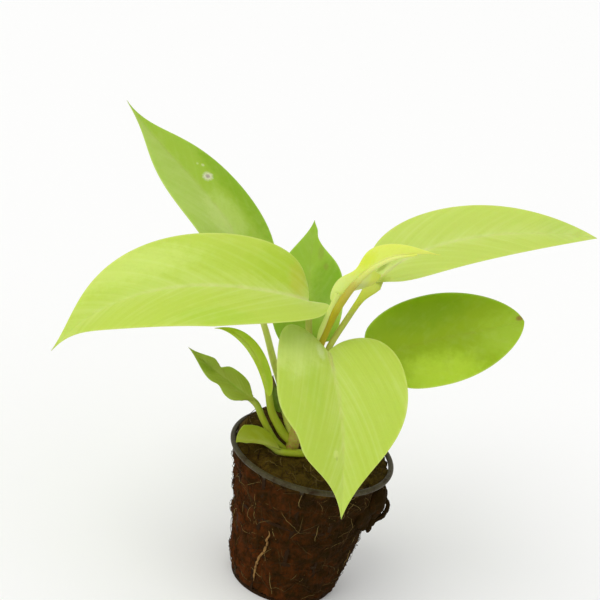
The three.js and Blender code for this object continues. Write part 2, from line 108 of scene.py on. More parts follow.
# What a leaf has where its own entry gives nothing else, in millimetres and degrees. A pair of
# numbers is for the left and the right half of the blade, seen from its foot. sides is the share of
# half_width that a half has. widest is the share of the length where it is widest, and shoulder, taper
# and point are shares that shape the outline on to the tip. lobe is how far the basal lobe reaches
# back, or a tapered base where it is negative, lobe_side, lobe_back and lobe_wide shape it, and
# lobe_lift is how far it rises or sinks. fold lifts a half at the midrib, fold_tip is the fold that it
# reaches at the tip, and curl bends it on towards its margin. dent takes a share of the width away
# around one place of the margin, or adds one where it is negative. pale is how much of the pale colour
# each half holds, as painted light on a half that faces the light, rib and veins are how far the
# midrib and the side veins show, and patches and stalk_patches are soft areas of another colour on the
# blade and on the stalk, each made by patch; some of these are painted shade or painted light.
# collar is how much wider the stalk gets where it meets the blade.
PLAIN_LEAF = dict(
    widest=0.33, shoulder=0.6, taper=0.3, point=0.1, fold=13, curl=-13, lobe=0.3, lobe_side=0.5,
    lobe_back=1, lobe_wide=1, lobe_lift=0, sides=1, dent=0, dent_at=0.5, dent_size=0.08, wave=0,
    waves=0, foot_radius=1, stalk_radius=0.8, lobe_rows=5, tip_rows=8, pale=0, rib=0.3,
    veins=0.2, vein_lean=VEIN_LEAN, patches=[], stalk_patches=[], collar=0,
)
SMALL_LEAF = dict(lobe_rows=3, tip_rows=6, rib=0.15, veins=0.1)

# stalk runs from the leaf's foot at the stem to the blade, and line is the cubic curve of the midrib.
# faces gives the way that the upper side looks at the blade's base and at its tip.
LEAVES = {
    "leaf_left_large": dict(
        stalk=[(-8.2, -4.4, 76), (-8.6, -3.8, 83), (-10.2, -3.6, 90)],
        line=[(-12, -5.8, 99), (-24, -15, 103.5), (-65.5, -18, 104), (-83, -22.5, 70)],
        faces=[(-0.2, -0.6, 0.85), (-0.3, -0.55, 0.75)],
        half_width=18, lobe=(10.8, 1), widest=0.35, shoulder=0.66, fold=(20, 17), curl=(-11, -18),
        lobe_side=(-0.3, 0.8), lobe_back=(0.2, 1), lobe_wide=(0.75, 1), lobe_lift=(6, -0.7),
        foot_radius=1.1, stalk_radius=1, rib=0.8,
        patches=[
            patch(0.1, 9, 14, 10, 0.75, "a9c42e"),
            patch(0.3, 9, 17, 6, 0.5, "b0c83e"),
            patch(0.34, -14, 14, 5, 0.55, "aac83a"),
            patch(0.05, 6, 4, 7, 0.3, "c9b23c"),
            patch(0.62, 10, 24, 7, 0.4, "d2e27c"),
        ],
    ),
    "leaf_upper_left": dict(
        stalk=[(-9.2, -3.6, 56), (-12.3, -2.2, 63), (-14.7, -0.8, 67.5), (-18.6, 1, 74), (-24, 3, 84)],
        line=[(-34.5, 6, 100.5), (-38, 13.5, 113.5), (-70, 25, 123), (-83.5, 29.5, 136)],
        faces=[(0.35, -0.35, 0.95), (0.2, -0.45, 0.75)],
        half_width=14, lobe=7.4, widest=0.27, taper=0.35, point=0.07, fold=(11, 12), curl=(-9, -20),
        lobe_side=0.7, lobe_lift=-0.5, foot_radius=1.4,
        # Painted light: the stalk is made paler where the large left leaf shades it
        stalk_patches=[patch(-0.35, 0, 22, 5, 0.8, "dbe27c")],
        # Painted light: the left half is made paler because it faces the light, and the right half is not
        pale=(0.18, 0), rib=0.05, veins=0.06,
        patches=[
            # Painted shade: a deep green band along the right half, which faces away from the light
            patch(0.38, 13, 27, 8, 0.9, "84a80c"),
            patch(0.24, 0, 13, 8, 0.6, "b9cd68"),
            patch(0.469, 4.9, 1.9, 2.1, 0.85, "dcd8bc"),
            patch(0.469, 4.9, 0.95, 1, 0.9, "a0928a"),
            patch(0.53, 6.4, 0.7, 0.6, 0.6, "d4dc9c"),
            patch(0.55, 5.2, 0.5, 0.5, 0.5, "d0dc98"),
        ],
    ),
    "leaf_back": dict(
        stalk=[(-5.7, -3.2, 66), (-6.2, 0, 75)],
        line=[(-9.8, 3.9, 85), (-13.5, 7, 91), (-13.2, 15, 94), (-16.7, 18.8, 116)],
        faces=[(-0.04, -0.86, 0.42), (-0.08, -0.95, 0.47)],
        half_width=11.4, lobe=6, widest=0.31, shoulder=(0.51, 0.68), taper=(0.3, 0.5),
        point=(0.2, 0.12), dent=(0, -1.4), dent_at=0.94, dent_size=0.05, fold=(10, 9),
        lobe_side=0.75, rib=0.05, veins=0.1,
        patches=[
            # Painted shade: a darker patch on the right half, which faces away from the light
            patch(0.45, 7, 10, 7, 0.7, "7aa212"),
            patch(0.72, 3, 3, 1.2, 0.35, "8f8a40"),
            patch(0.6, 5, 1.4, 1, 0.35, "8f7a38"),
        ],
    ),
    "leaf_front_heart": dict(
        stalk=[(-4, -8.6, 68), (-2.6, -9.2, 77)],
        line=[(-2.6, -9.4, 85.9), (6.3, -27.6, 78), (9.1, -32.5, 67.5), (13, -38.7, 48)],
        faces=[(0.3, -0.89, 0.39), (-0.04, -0.58, 0.39)],
        half_width=21, lobe=(5.5, 12), lobe_wide=(1, 0.82), widest=(0.23, 0.3),
        shoulder=(0.5, 0.58), taper=(0.45, 0.5), point=(0.28, 0.14), dent=(0, 0.16), dent_at=0.54,
        dent_size=0.1, fold=(10, 22), curl=(-9, -1), lobe_side=0.93, lobe_lift=-1.2,
        foot_radius=1.1, stalk_radius=0.9, rib=0.5, vein_lean=2.6,
        patches=[
            # Painted light: the top of the left lobe is made paler where the large left leaf shades it
            patch(-0.02, 13, 15, 11, 0.75, "cfe07e"),
            # Painted highlight: a whitish streak by the notch
            patch(0.01, 3, 4, 1.6, 0.35, "e2e8c4"),
            patch(0.25, 8, 12, 4, 0.4, "a8c63e"),
            patch(0.635, 2.5, 1.5, 1, 0.45, "d8e48c"),
            patch(0.66, 2.2, 0.8, 0.5, 0.5, "94a844"),
        ],
    ),
    "leaf_right_upper": dict(
        stalk=[(-3.4, -5.4, 79.5), (-2.6, -4.6, 85.5), (0.2, -2, 93.6), (3.6, 1, 102)],
        line=[(5.8, 2.3, 106.8), (8.8, 9.2, 109.4), (22.3, 19.9, 126.5), (70, 26.2, 129.8)],
        faces=[(-0.3, -0.5, 0.65), (0.1, -0.6, 0.7)],
        half_width=12.5, lobe=(-3, 0.5), widest=0.3, shoulder=0.5, taper=0.05, fold=(9, 22),
        curl=(-10, -6), lobe_side=0.4, stalk_radius=0.9, rib=0.8,
        patches=[
            # Painted shade: a dark olive pocket in the crease
            patch(0.08, -1.8, 3.2, 0.9, 0.85, "8a9a0e"),
            # Painted shade: the base of the blade made dark olive where it lies in shade
            patch(0, 2, 5, 4, 0.8, "a0b010"),
            patch(0.85, -2, 9, 6, 0.5, "b4c85e"),
        ],
        stalk_patches=[patch(-0.03, 0, 9, 4, 0.9, "c6d01c")],
        collar=2.2,
    ),
    "leaf_right_lower": dict(
        stalk=[(-3.2, -5.5, 61), (1.6, -3, 69), (8, 1.5, 77.5)],
        line=[(14.5, 4.7, 82.3), (21, 7, 88.5), (33.5, 14.7, 90), (55, 20, 99.5)],
        faces=[(0, -0.85, 0.5), (-0.1, -0.62, 0.53)],
        half_width=14.6, lobe=4.5, widest=0.39, shoulder=0.52, taper=0.05, point=0.46, fold=(13, 8),
        curl=(-19, -20), lobe_side=0.65, stalk_radius=0.9, rib=0.05, veins=0.04,
        # Painted shade: the leaf is darkest on its top half, under the upper right leaf, and paler on its
        # lower half and at its tip
        patches=[
            patch(0.3, 11, 20, 9, 0.8, "b6d038"),
            patch(0.85, 3, 12, 9, 0.6, "a6c034"),
            patch(0.35, -10, 18, 8, 0.5, "789c02"),
            patch(0.975, -1.3, 1.5, 1, 0.8, "8a5a2a"),
        ],
    ),
    "leaf_new": dict(
        stalk=[(-5.9, -6, 81.4), (-5.2, -6.1, 87.5), (-4.2, -6.7, 94.2)],
        line=[(-2.4, -7.8, 103.3), (1.4, -8, 113.6), (5.8, -8.4, 122.4), (22.6, -8, 124)],
        faces=[(-0.2, 0.9, 0.3), (0, 0, 1)],
        half_width=5, sides=(0.5, 0.96), lobe=(-8, 4), lobe_wide=(1, 1.15), lobe_rows=9,
        tip_rows=16, widest=(0.5, 0.4), shoulder=0.4, dent=(-6, 0.5), dent_at=(0.28, 0.27),
        dent_size=(0.055, 0.12), fold=(0, 20), fold_tip=(55, 100), curl=10, lobe_side=0.7,
        foot_radius=1.2, stalk_radius=1.2, rib=0.1, veins=0.1,
        patches=[
            patch(0.05, 3, 7, 3, 0.7, "d6e68c"),
            patch(0.2, -2, 6, 4, 0.7, "dbe98e"),
            patch(0.08, 0, 6, 0.7, 0.8, "b0961c"),
            patch(0.4, 2.4, 4, 2.2, 0.7, "d4e024"),
            patch(0.5, 0, 9, 0.5, 0.6, "ecf49c"),
        ],
    ),
    "leaf_small_left": dict(
        SMALL_LEAF,
        stalk=[(-9.6, -7.4, 49.6), (-12.3, -7, 51.2), (-17.2, -6, 56.6)],
        line=[(-20.5, -5.1, 61.4), (-23.6, -5.1, 62.4), (-38.7, -5, 69.9), (-44.8, -5.8, 74.5)],
        faces=[(0.14, -0.67, 0.64), (0.08, -0.65, 0.63)],
        half_width=4.4, lobe=(-4, -3), lobe_side=0.2, widest=0.3, point=0.2, dent=(0.25, 0.5),
        dent_at=(0.47, 0.58), dent_size=(0.08, 0.06), tip_rows=12, wave=0.4, waves=2.5,
        stalk_radius=1.1,
        patches=[
            patch(0.7, -0.8, 4, 2, 0.6, "7a9410"),
            patch(0.3, 0, 5, 0.5, 0.5, "8ab01c"),
        ],
    ),
    "leaf_narrow_left": dict(
        SMALL_LEAF,
        stalk=[(-10, -6, 53.5), (-12.4, -5.7, 56), (-15.2, -5.3, 59.6)],
        line=[(-18, -4.8, 65), (-18.9, -4.2, 71), (-27.5, -4, 85.5), (-38.5, -2, 81)],
        faces=[(-0.27, -0.82, 0.15), (-0.18, -0.7, 0.67)],
        half_width=2.3, sides=(0.6, 1.15), lobe=(-0.5, 1), lobe_side=1, widest=(0.5, 0.35),
        point=0.3, fold=12, curl=-18, foot_radius=1.5, stalk_radius=1.1,
        patches=[
            patch(0.6, -1, 7, 1, 0.5, "cede70"),
            patch(0.2, 1, 6, 1.4, 0.5, "98bc10"),
        ],
    ),
    "leaf_at_rim": dict(
        SMALL_LEAF,
        stalk=[(-2.5, -9.6, 50.4), (-5.9, -10.6, 50.1)],
        line=[(-9.5, -10.4, 50.1), (-14.4, -12, 53), (-20.3, -13.5, 54.5), (-23.4, -14.5, 51)],
        faces=[(0, -0.45, 0.85), (-0.2, -0.6, 0.7)],
        half_width=4.6, sides=(0.3, 1), lobe=-3, lobe_side=0.3, widest=0.78, shoulder=0.1,
        taper=0.5, point=0.55, fold=(-30, 14), curl=(-15, -18), foot_radius=1.1, stalk_radius=1.1,
        patches=[patch(0.4, -0.6, 8, 0.8, 0.6, "a4ae44")],
    ),
    "sheath_dried": dict(
        SMALL_LEAF,
        stalk=[(-10.2, -1.7, 56.5)],
        line=[(-12.5, -0.4, 58), (-15, 0.2, 62), (-17.2, 0.8, 65), (-17.7, 1.2, 69)],
        faces=[(-0.4, -0.85, 0.1), (-0.2, -0.9, 0.2)],
        half_width=1.9, point=0.4, curl=20, foot_radius=0.5, stalk_radius=0.5,
        patches=[patch(0.95, 0, 4.5, 3, 0.95, "5f2f22")],
    ),
}

# The new leaf's wing: its middle line from the foot to the leaf, and its half-thickness and half-width
NEW_WING = [(-6.5, -6.6, 85.5), (-6.2, -7, 90), (-5.4, -7.4, 94.5), (-4.5, -8, 99.5), (-3.6, -8.3, 104.5)]
NEW_WING_SIZE = (0.28, 1.2)
# How it grows along its line, and the place of the blade that it takes its shade from
NEW_WING_SHARES = [0, 0.3, 1]
NEW_WING_GROWTH = [0.2, 0.8, 1]
NEW_WING_TISSUE = {"run": 0.05, "out": 3}

BROAD_LEAVES = [
    "leaf_left_large",
    "leaf_upper_left",
    "leaf_back",
    "leaf_front_heart",
    "leaf_right_upper",
    "leaf_right_lower",
]
SMALL_LEAVES = ["leaf_small_left", "leaf_narrow_left", "leaf_at_rim", "sheath_dried"]

# Stem, in millimetres: its two ends, the heights of its joints, and how far they rise and reach
STEM_FOOT = (-6.6, -6.4, 40)
STEM_TOP = (-6, -6, 81)
STEM_JOINTS = [48, 53, 58.5, 64, 69, 74, 79]
JOINT_RISE = 0.16
JOINT_REACH = 0.7

# How far below its foot a stalk leaves the stem's middle, in millimetres, and how a collar narrows
# down the stalk and on under the blade, as shares of the stalk and the midrib together
FOOT_DROP = 2
COLLAR_LENGTH = 0.05
COLLAR_END = 0.02
# Where the stalk's own colour starts to go, before the blade, and where it has gone down to a share
# after it, again as shares of the stalk and the midrib together
FADE_BEFORE = 0.1
FADE_AFTER = 0.04
FADE_SHARE = 0.4

# Root that runs down over the coir: its top and its foot as an angle in degrees and a height. It sways
# once and has crooks, both in degrees, and rises from the coir and swells unevenly.
ROOT_TOP = (-109, 27)
ROOT_FOOT = (-117, 5)
ROOT_SWAY = 2
ROOT_CROOK = 1.6
ROOT_ON_COIR = 0.3
ROOT_LIFT = 0.3
ROOT_KNOTS = 0.5
ROOT_TAPER = 0.75

# Coir, in millimetres. It bulges a little past the pot's wall, and its lumps are layers of noise, each
# with how fast it changes level and upright, and how strong it is. Its top's rings are shares of its rim.
COIR_LOW = 1.9
COIR_TOP = 46
COIR_MOUND = 4
COIR_BULGE = 0.3
COIR_LAYERS = [(0.17, 0.13, 1.1), (0.55, 0.4, 0.7), (1.8, 1.3, 0.45)]
COIR_SECTORS = 220
WALL_RINGS = 110
TOP_RINGS = 44
TOP_SHARES = (0.985, 0.03)
BACK_MOUND = {"angle": 158, "height": 45.5, "out": -8, "size": (9, 14, 8)}
# Loose coir at the right of the wall: lumps that hang from each other, and a thick strand that arches
# over a small gap. Angles are in degrees, and out is counted from the wall.
LOOSE_LUMPS = [
    {"angle": -17, "height": 39.5, "out": 1, "size": (3, 5.4, 5)},
    {"angle": -14, "height": 35, "out": 1.6, "size": (2, 3.2, 2.8)},
    {"angle": -16, "height": 31.5, "out": 2.2, "size": (1.3, 1.6, 2.2)},
    {"angle": -16, "height": 28.6, "out": 2.5, "size": (0.9, 1.1, 1.8)},
    {"angle": -26, "height": 31.5, "out": 1.6, "size": (1.2, 1.6, 2)},
    {"angle": -27, "height": 35.5, "out": 0.2, "size": (2.2, 4, 5)},
]
LOOSE_STRAND = [(-12, 3, 40), (-11, 4.6, 38), (-11, 5, 35.5), (-12, 4.4, 33.2), (-15, 3.2, 32.2)]
LOOSE_STRAND_RADIUS = 0.75
# How rough the loose coir is: its noise against the wall's, the share of a lump and the strand
LOOSE_SCALE = 1.6
LUMP_ROUGHNESS = 0.25
STRAND_ROUGHNESS = 0.4

# Fibres, in millimetres and radians: the heights that they start at and stay between on the wall, and
# how far they start and stay from the pot's middle on the top
FIBRE_STARTS = (2.5, 45)
FIBRE_HEIGHTS = (2, 45.5)
TOP_START = 23
TOP_REACH = 24
# The share of the wall's fibres that run mostly upright, and how far these spread
UPRIGHT_SHARE = 0.6
UPRIGHT_SPREAD = 0.9
# How a fibre winds: the least and most of its steps and of their length, its steady and its random
# turns, the mean and spread of how high its middle rises, and how deep its ends are drawn in
WALL_WALK = dict(steps=(6, 11), stride=(0.5, 1.5), turn=0.12, wobble=0.16, lift=(0.25, 0.35), drawn_in=0.12)
TOP_WALK = dict(steps=(6, 10), stride=(0.5, 1.3), turn=0.15, wobble=0.2, lift=(0.3, 0.6), drawn_in=0.1)
# The smallest and largest fibre as shares of a common one, and how much its ends taper
FIBRE_SIZES = (0.6, 1.9)
FIBRE_TAPER = 0.7
# How rare pale fibres are: the power that an even draw of their shade is raised to
PALE_FIBRES = 9

# Pot: the heights of its hoops, and the radii of its rounded edges, in millimetres
HOOP_HEIGHTS = (16, 30)
HOOP_EDGE = 0.3
RIB_EDGE = 0.25
RIB_BEVEL = 0.15
BASE_EDGE = 0.005

# Sizes of the soft noise in the materials, in metres
LEAF_MOTTLE = 0.005
LEAF_GRAIN = 0.0007
STALK_FIBRE = 0.002
STEM_STREAK = 0.0016
STEM_SPECK = 0.0007
COIR_PATCH = 0.004
COIR_STRAND = 0.0009
BARK_PATCH = 0.0015
DUST_PATCH = 0.005
DUST_GRAIN = 0.0008
# Streaks of leaf tissue: their width between the side veins in millimetres, how little they change
# outwards, and how much they show for each share of the veins
STREAK_WIDTH = 3.5
STREAK_CHANGE = 0.1
STREAK_SHOW = 2.5
# The uneven border of a soft area: the size of its bumps as a share of its reach, and their height
BORDER_SIZE = 0.35
BORDER_HEIGHT = 1.3
# Heights in metres between which the coir's side turns into its top, and the pot's wall into its rim
COIR_TURN = (0.044, 0.047)
RIM_TURN = (0.043, 0.0465)
# Heights in metres between which the stem gets its specks, downwards
SPECKS_FROM = (0.06, 0.046)


def linear(code):
    """The linear colour of a six-digit screen colour."""
    parts = [int(code[i : i + 2], 16) / 255 for i in (0, 2, 4)]
    return tuple(part / 12.92 if part <= 0.04045 else ((part + 0.055) / 1.055) ** 2.4 for part in parts)


def colour(name, code):
    description = "Colour of the " + name.lower()
    return FloatVectorProperty(
        name=name, description=description, subtype="COLOR", size=3, min=0, max=1, default=linear(code)
    )


def length(name, description, millimetres):
    return FloatProperty(
        name=name, description=description, unit="LENGTH", min=0, precision=5, default=millimetres * MM
    )


class SeedlingColours(bpy.types.PropertyGroup):
    """Colours of the leaves, the stem, the coir, the roots, the pot and the floor."""

    left_large: colour("Large left leaf", "b9cd4c")
    upper_left: colour("Upper left leaf", "9cb838")
    back: colour("Back leaf", "9cbc3c")
    front_heart: colour("Heart leaf", "b6cb4c")
    right_upper: colour("Upper right leaf", "becf5c")
    # Darkened as painted shade under the upper right leaf
    right_lower: colour("Lower right leaf", "93ac10")
    new: colour("Unfolding leaf", "dbe756")
    small_left: colour("Small wavy leaf", "9fae3e")
    narrow_left: colour("Narrow left leaf", "b6cc2c")
    at_rim: colour("Leaf at the rim", "8f9a1a")
    dried: colour("Sheath under its dried tip", "6c8616")
    # Also the painted light on a half of a blade that faces the light
    pale: colour("Pale midribs, veins and lobes", "dbe69a")
    stalk: colour("Leaf stalks", "b9c254")
    small_stalk: colour("Lowest leaf stalks", "9aaa22")
    new_stalk: colour("Unfolding leaf's stalk", "b3a61a")
    stem: colour("Main stem", "a39a30")
    stem_speck: colour("Stem specks", "b0504a")
    # Also the painted shade on the coir's right side
    coir_dark: colour("Moist coir in hollows", "261903")
    # Also the painted light on the coir's left side
    coir_red: colour("Drier red-brown coir", "542809")
    coir_top: colour("Coir on the pot's top", "6e5a20")
    fibre_dark: colour("Dark fibres", "301c05")
    fibre_pale: colour("Pale fibres", "8c7846")
    root: colour("Outer root", "92703f")
    pot: colour("Pot's plastic", "423c26")
    dirt: colour("Coir dust on the pot", "2a1804")
    pot_scuff: colour("Scuffs on the pot", "8c8264")
    floor: colour("Floor", "fbfbfa")


class SeedlingSizes(bpy.types.PropertyGroup):
    """Sizes of the leaves, the stem, the coir and the pot."""

    blade_thickness: length("Blade thickness", "Thickness of a leaf blade away from its margin", 0.4)
    vein_spacing: length("Vein spacing", "Distance between side veins along the midrib", 5)
    quilt: length("Quilting", "How far the blade rises between its side veins", 0.05)
    groove: length("Midrib groove", "How far the clearest midrib lies under the blade's face", 0.16)
    stem_foot_radius: length("Stem foot radius", "Radius of the stem in the coir", 2.2)
    stem_top_radius: length("Stem top radius", "Radius of the stem at its top", 1.5)
    coir_relief: length("Coir relief", "How far the coir rises and sinks over its surface", 1)
    fibre_radius: length("Fibre radius", "Radius of a common coir fibre", 0.065)
    root_radius: length("Root radius", "Radius of the root on the coir", 0.38)
    pot_height: length("Pot height", "Height of the pot over its rim", 48)
    rim_radius: length("Rim radius", "Outer radius of the rim ring", 26.5)
    rim_wire: length("Rim thickness", "Radius of the rim ring's round section", 0.88)
    wall_top_radius: length("Wall top radius", "Outer radius of the wall at its top", 24.2)
    wall_top_height: length("Wall height", "Height of the wall's top", 44)
    base_radius: length("Base radius", "Radius of the base", 17)
    base_thickness: length("Base thickness", "Thickness of the base", 1.2)
    rib_width: length("Rib width", "Width of an upright rib and of a hoop", 1.2)
    rib_depth: length("Rib depth", "Depth of an upright rib and of a hoop", 1.2)
    rib_count: IntProperty(name="Ribs", description="Number of upright ribs", min=3, default=12)
    wall_fibres: IntProperty(name="Wall fibres", description="Fibres over the wall", min=0, default=1500)
    top_fibres: IntProperty(name="Top fibres", description="Fibres on the top", min=0, default=500)


class SeedlingStage(bpy.types.PropertyGroup):
    """The floor and the light round the plant."""

    floor_side: length("Floor side", "Side of the square floor", 12000)
    sky: FloatProperty(name="Sky light", description="Strength of the even light", min=0, default=0.74)
    key: FloatProperty(name="Key light", description="Strength of the main light", min=0, default=1.15)
    key_spread: FloatProperty(
        name="Key softness", description="Width of the main light", subtype="ANGLE", default=math.radians(50)
    )


class Signal:
    """A number in a shader tree. Python's operators on it add Math nodes."""

    def __init__(self, tree, socket):
        self.tree = tree
        self.socket = socket

    def math(self, operation, *others):
        return self.tree.node("ShaderNodeMath", {"operation": operation}, dict(enumerate([self, *others])))

    def turned(self, operation, other):
        return self.tree.node("ShaderNodeMath", {"operation": operation}, {0: other, 1: self})

    def __add__(self, other):
        return self.math("ADD", other)

    def __sub__(self, other):
        return self.math("SUBTRACT", other)

    def __mul__(self, other):
        return self.math("MULTIPLY", other)

    def __truediv__(self, other):
        return self.math("DIVIDE", other)

    def __pow__(self, other):
        return self.math("POWER", other)

    def __radd__(self, other):
        return self.turned("ADD", other)

    def __rsub__(self, other):
        return self.turned("SUBTRACT", other)

    def __rmul__(self, other):
        return self.turned("MULTIPLY", other)

    def __abs__(self):
        return self.math("ABSOLUTE")

    def clamped(self):
        return self.tree.node("ShaderNodeClamp", {}, {0: self})


class Tree:
    """A new material and the nodes that are added to it."""

    def __init__(self, name):
        self.material = bpy.data.materials.new(name)
        self.material.use_nodes = True
        self.nodes = self.material.node_tree.nodes
        self.links = self.material.node_tree.links
        self.shader = self.nodes["Principled BSDF"]

    def node(self, kind, settings, inputs, output=0):
        """Adds a node of a kind. Its settings come first, then the values or links of its sockets."""
        node = self.nodes.new(kind)
        for key, value in settings.items():
            setattr(node, key, value)
        self.feed(node, inputs)
        return Signal(self, node.outputs[output])

    def feed(self, node, inputs):
        """Links or sets a node's sockets."""
        for key, value in inputs.items():
            socket = node.inputs[key]
            if isinstance(value, Signal):
                self.links.new(value.socket, socket)
            elif socket.type == "RGBA":
                socket.default_value = (*value, 1)
            else:
                socket.default_value = value

    def mixed(self, share, first, second):
        """Two colours mixed by a share of the second."""
        first, second = (shade if isinstance(shade, Signal) else tuple(shade) for shade in (first, second))
        return self.node("ShaderNodeMix", {"data_type": "RGBA"}, {0: share, 6: first, 7: second}, 2)

    def attribute(self, name):
        return self.node("ShaderNodeAttribute", {"attribute_name": name}, {}, "Fac")

    def place(self):
        return self.node("ShaderNodeTexCoord", {}, {}, "Object")

    def part_of_place(self, axis):
        """How far along an axis a place lies: 0 for X, 1 for Y and 2 for Z."""
        return self.node("ShaderNodeSeparateXYZ", {}, {0: self.place()}, axis)

    def speckle(self, size, detail=3, roughness=0.5, place=None):
        """Soft noise from 0 to 1, with patches of about a size in metres."""
        inputs = {"Vector": place or self.place(), "Scale": 1 / size}
        return self.node("ShaderNodeTexNoise", {}, {**inputs, "Detail": detail, "Roughness": roughness})

    def stretched(self, factors):
        """The place in the frame, multiplied along each axis."""
        return self.node("ShaderNodeVectorMath", {"operation": "MULTIPLY"}, {0: self.place(), 1: factors})

    def spread(self, value, low, high):
        """A value from low to high brought to 0 to 1, smoothly."""
        settings = {"interpolation_type": "SMOOTHSTEP"}
        return self.node("ShaderNodeMapRange", settings, {0: value, 1: low, 2: high})

    def finish(self, surface, height=None, depth=0.0001):
        """Sets the shader's sockets, with an optional bump of a depth in metres."""
        self.feed(self.shader, surface)
        if height is not None:
            bump = self.node("ShaderNodeBump", {}, {"Strength": 1, "Distance": depth, "Height": height})
            self.feed(self.shader, {"Normal": bump})
        return self.material


def make_piece(name, points, faces, material, marks=None, sharp_deg=50):
    """A smooth mesh object from points in millimetres. marks are named numbers, one for each point."""
    mesh = bpy.data.meshes.new(name)
    mesh.from_pydata((np.asarray(points) * MM).tolist(), [], faces)
    mesh.update()
    for mark, values in (marks or {}).items():
        layer = mesh.attributes.new(mark, "FLOAT", "POINT")
        layer.data.foreach_set("value", np.asarray(values, np.float32))
    mesh.shade_smooth()
    mesh.set_sharp_from_angle(angle=math.radians(sharp_deg))
    mesh.materials.append(material)
    piece = bpy.data.objects.new(name, mesh)
    bpy.context.scene.collection.objects.link(piece)
    return piece


def settle(piece, slot, *nodes):
    """Lets a piece ride with the plant and stand for CAD nodes, which it hides. slot is not used."""
    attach(piece, "root")
    if nodes:
        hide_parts(*nodes)


class Batch:
    """Points, faces and marks of several closed bodies that make one piece."""

    def __init__(self):
        self.points = []
        self.faces = []
        self.marks = {}
        self.count = 0

    def add(self, points, faces, **marks):
        self.points.append(np.asarray(points))
        self.faces.extend([tuple(self.count + i for i in face) for face in faces])
        for mark, values in marks.items():
            self.marks.setdefault(mark, []).append(np.broadcast_to(values, len(points)))
        self.count += len(points)

    def piece(self, name, material, sharp_deg=50):
        marks = {mark: np.concatenate(values) for mark, values in self.marks.items()}
        return make_piece(name, np.concatenate(self.points), self.faces, material, marks, sharp_deg)


def unit(vectors):
    return vectors / np.linalg.norm(vectors, axis=-1, keepdims=True)


def cubic(corners, share):
    """Points of a cubic curve and its direction there."""
    a, b, c, d = (np.asarray(corner, float) for corner in corners)
    t = np.asarray(share, float)[..., None]
    point = (1 - t) ** 3 * a + 3 * (1 - t) ** 2 * t * b + 3 * (1 - t) * t**2 * c + t**3 * d
    slope = (1 - t) ** 2 * (b - a) + 2 * (1 - t) * t * (c - b) + t**2 * (d - c)
    return point, slope


class Midrib:
    """A cubic curve that is read by the distance along it."""

    def __init__(self, corners):
        self.corners = corners
        self.shares = np.linspace(0, 1, CURVE_STEPS + 1)
        points = cubic(corners, self.shares)[0]
        steps = np.linalg.norm(np.diff(points, axis=0), axis=1)
        self.distances = np.concatenate([[0], np.cumsum(steps)])
        self.length = self.distances[-1]

    def at(self, distance):
        """The point, the direction and the share at a distance. Past either end it goes straight on."""
        inside = np.clip(distance, 0, self.length)
        share = np.interp(inside, self.distances, self.shares)
        point, slope = cubic(self.corners, share)
        along = unit(slope)
        return point + along * (distance - inside)[..., None], along, inside / self.length


def facing(leaf, along, share):
    """The way that the upper side looks, square to the midrib."""
    low, high = (np.array(face, float) for face in leaf["faces"])
    face = low + (high - low) * share[..., None]
    return unit(face - along * np.sum(face * along, axis=-1, keepdims=True))


def half_of(leaf, side):
    """A leaf's values for its left or its right half: 0 or 1 picks one out of each pair of numbers."""
    return {key: value[side] if isinstance(value, tuple) else value for key, value in leaf.items()}


def half_outline(leaf, length, row):
    """One half's outline from the notch at the base round the lobe to the tip, at rows of the blade."""
    width = leaf["half_width"] * leaf["sides"]
    widest = leaf["widest"] * length
    rest = length - widest
    lobe = leaf["lobe"]
    round_lobe = [
        (0, 0),
        (-NOTCH_BACK * lobe, NOTCH_OUT * leaf["lobe_side"] * width),
        (-leaf["lobe_back"] * lobe, leaf["lobe_wide"] * width),
        (widest, width),
    ]
    on_to_tip = [
        (widest, width),
        (widest + leaf["shoulder"] * rest, width),
        (length - leaf["taper"] * rest, leaf["point"] * width),
        (length, 0),
    ]
    near = cubic(round_lobe, np.clip(row / leaf["lobe_rows"], 0, 1))[0]
    far = cubic(on_to_tip, np.clip((row - leaf["lobe_rows"]) / leaf["tip_rows"], 0, 1))[0]
    outline = np.where((row <= leaf["lobe_rows"])[:, None], near, far)
    off = (outline[:, 0] / length - leaf["dent_at"]) / leaf["dent_size"]
    outline[:, 1] *= 1 - leaf["dent"] * np.exp(-(off**2))
    return outline


def blade_points(leaf, midrib, run, out, side):
    """Places of one half's middle surface, at distances along the midrib and out to its side."""
    point, along, share = midrib.at(run)
    up = facing(leaf, along, share)
    right = np.cross(along, up)
    fold_tip = leaf.get("fold_tip", leaf["fold"])
    fold = np.radians(leaf["fold"] + (fold_tip - leaf["fold"]) * share)
    bend = math.radians(leaf["curl"]) / leaf["half_width"]
    turned = fold + bend * out
    across = (np.sin(turned) - np.sin(fold)) / bend
    lift = (np.cos(fold) - np.cos(turned)) / bend
    phase = 2 * math.pi * leaf["waves"] * run / midrib.length + (RIGHT_WAVE_PHASE if side > 0 else 0)
    lift += leaf["wave"] * np.sin(phase) * (out / leaf["half_width"]) ** 2
    lift += leaf["lobe_lift"] * (np.minimum(run, 0) / max(leaf["lobe"], 1)) ** 2
    return point + right * (side * across)[..., None] + up * lift[..., None]


def vein_size(leaf):
    """The size of a leaf's veins as a share of a broad leaf's."""
    return min(1, leaf["half_width"] / VEINED_HALF_WIDTH)


def vein_foot(leaf, run, out):
    """Where a side vein through a place of the blade meets the midrib. Veins slant on to the tip."""
    share = np.abs(out) / leaf["half_width"]
    return run - np.abs(out) * (leaf["vein_lean"] + VEIN_SWEEP * share)


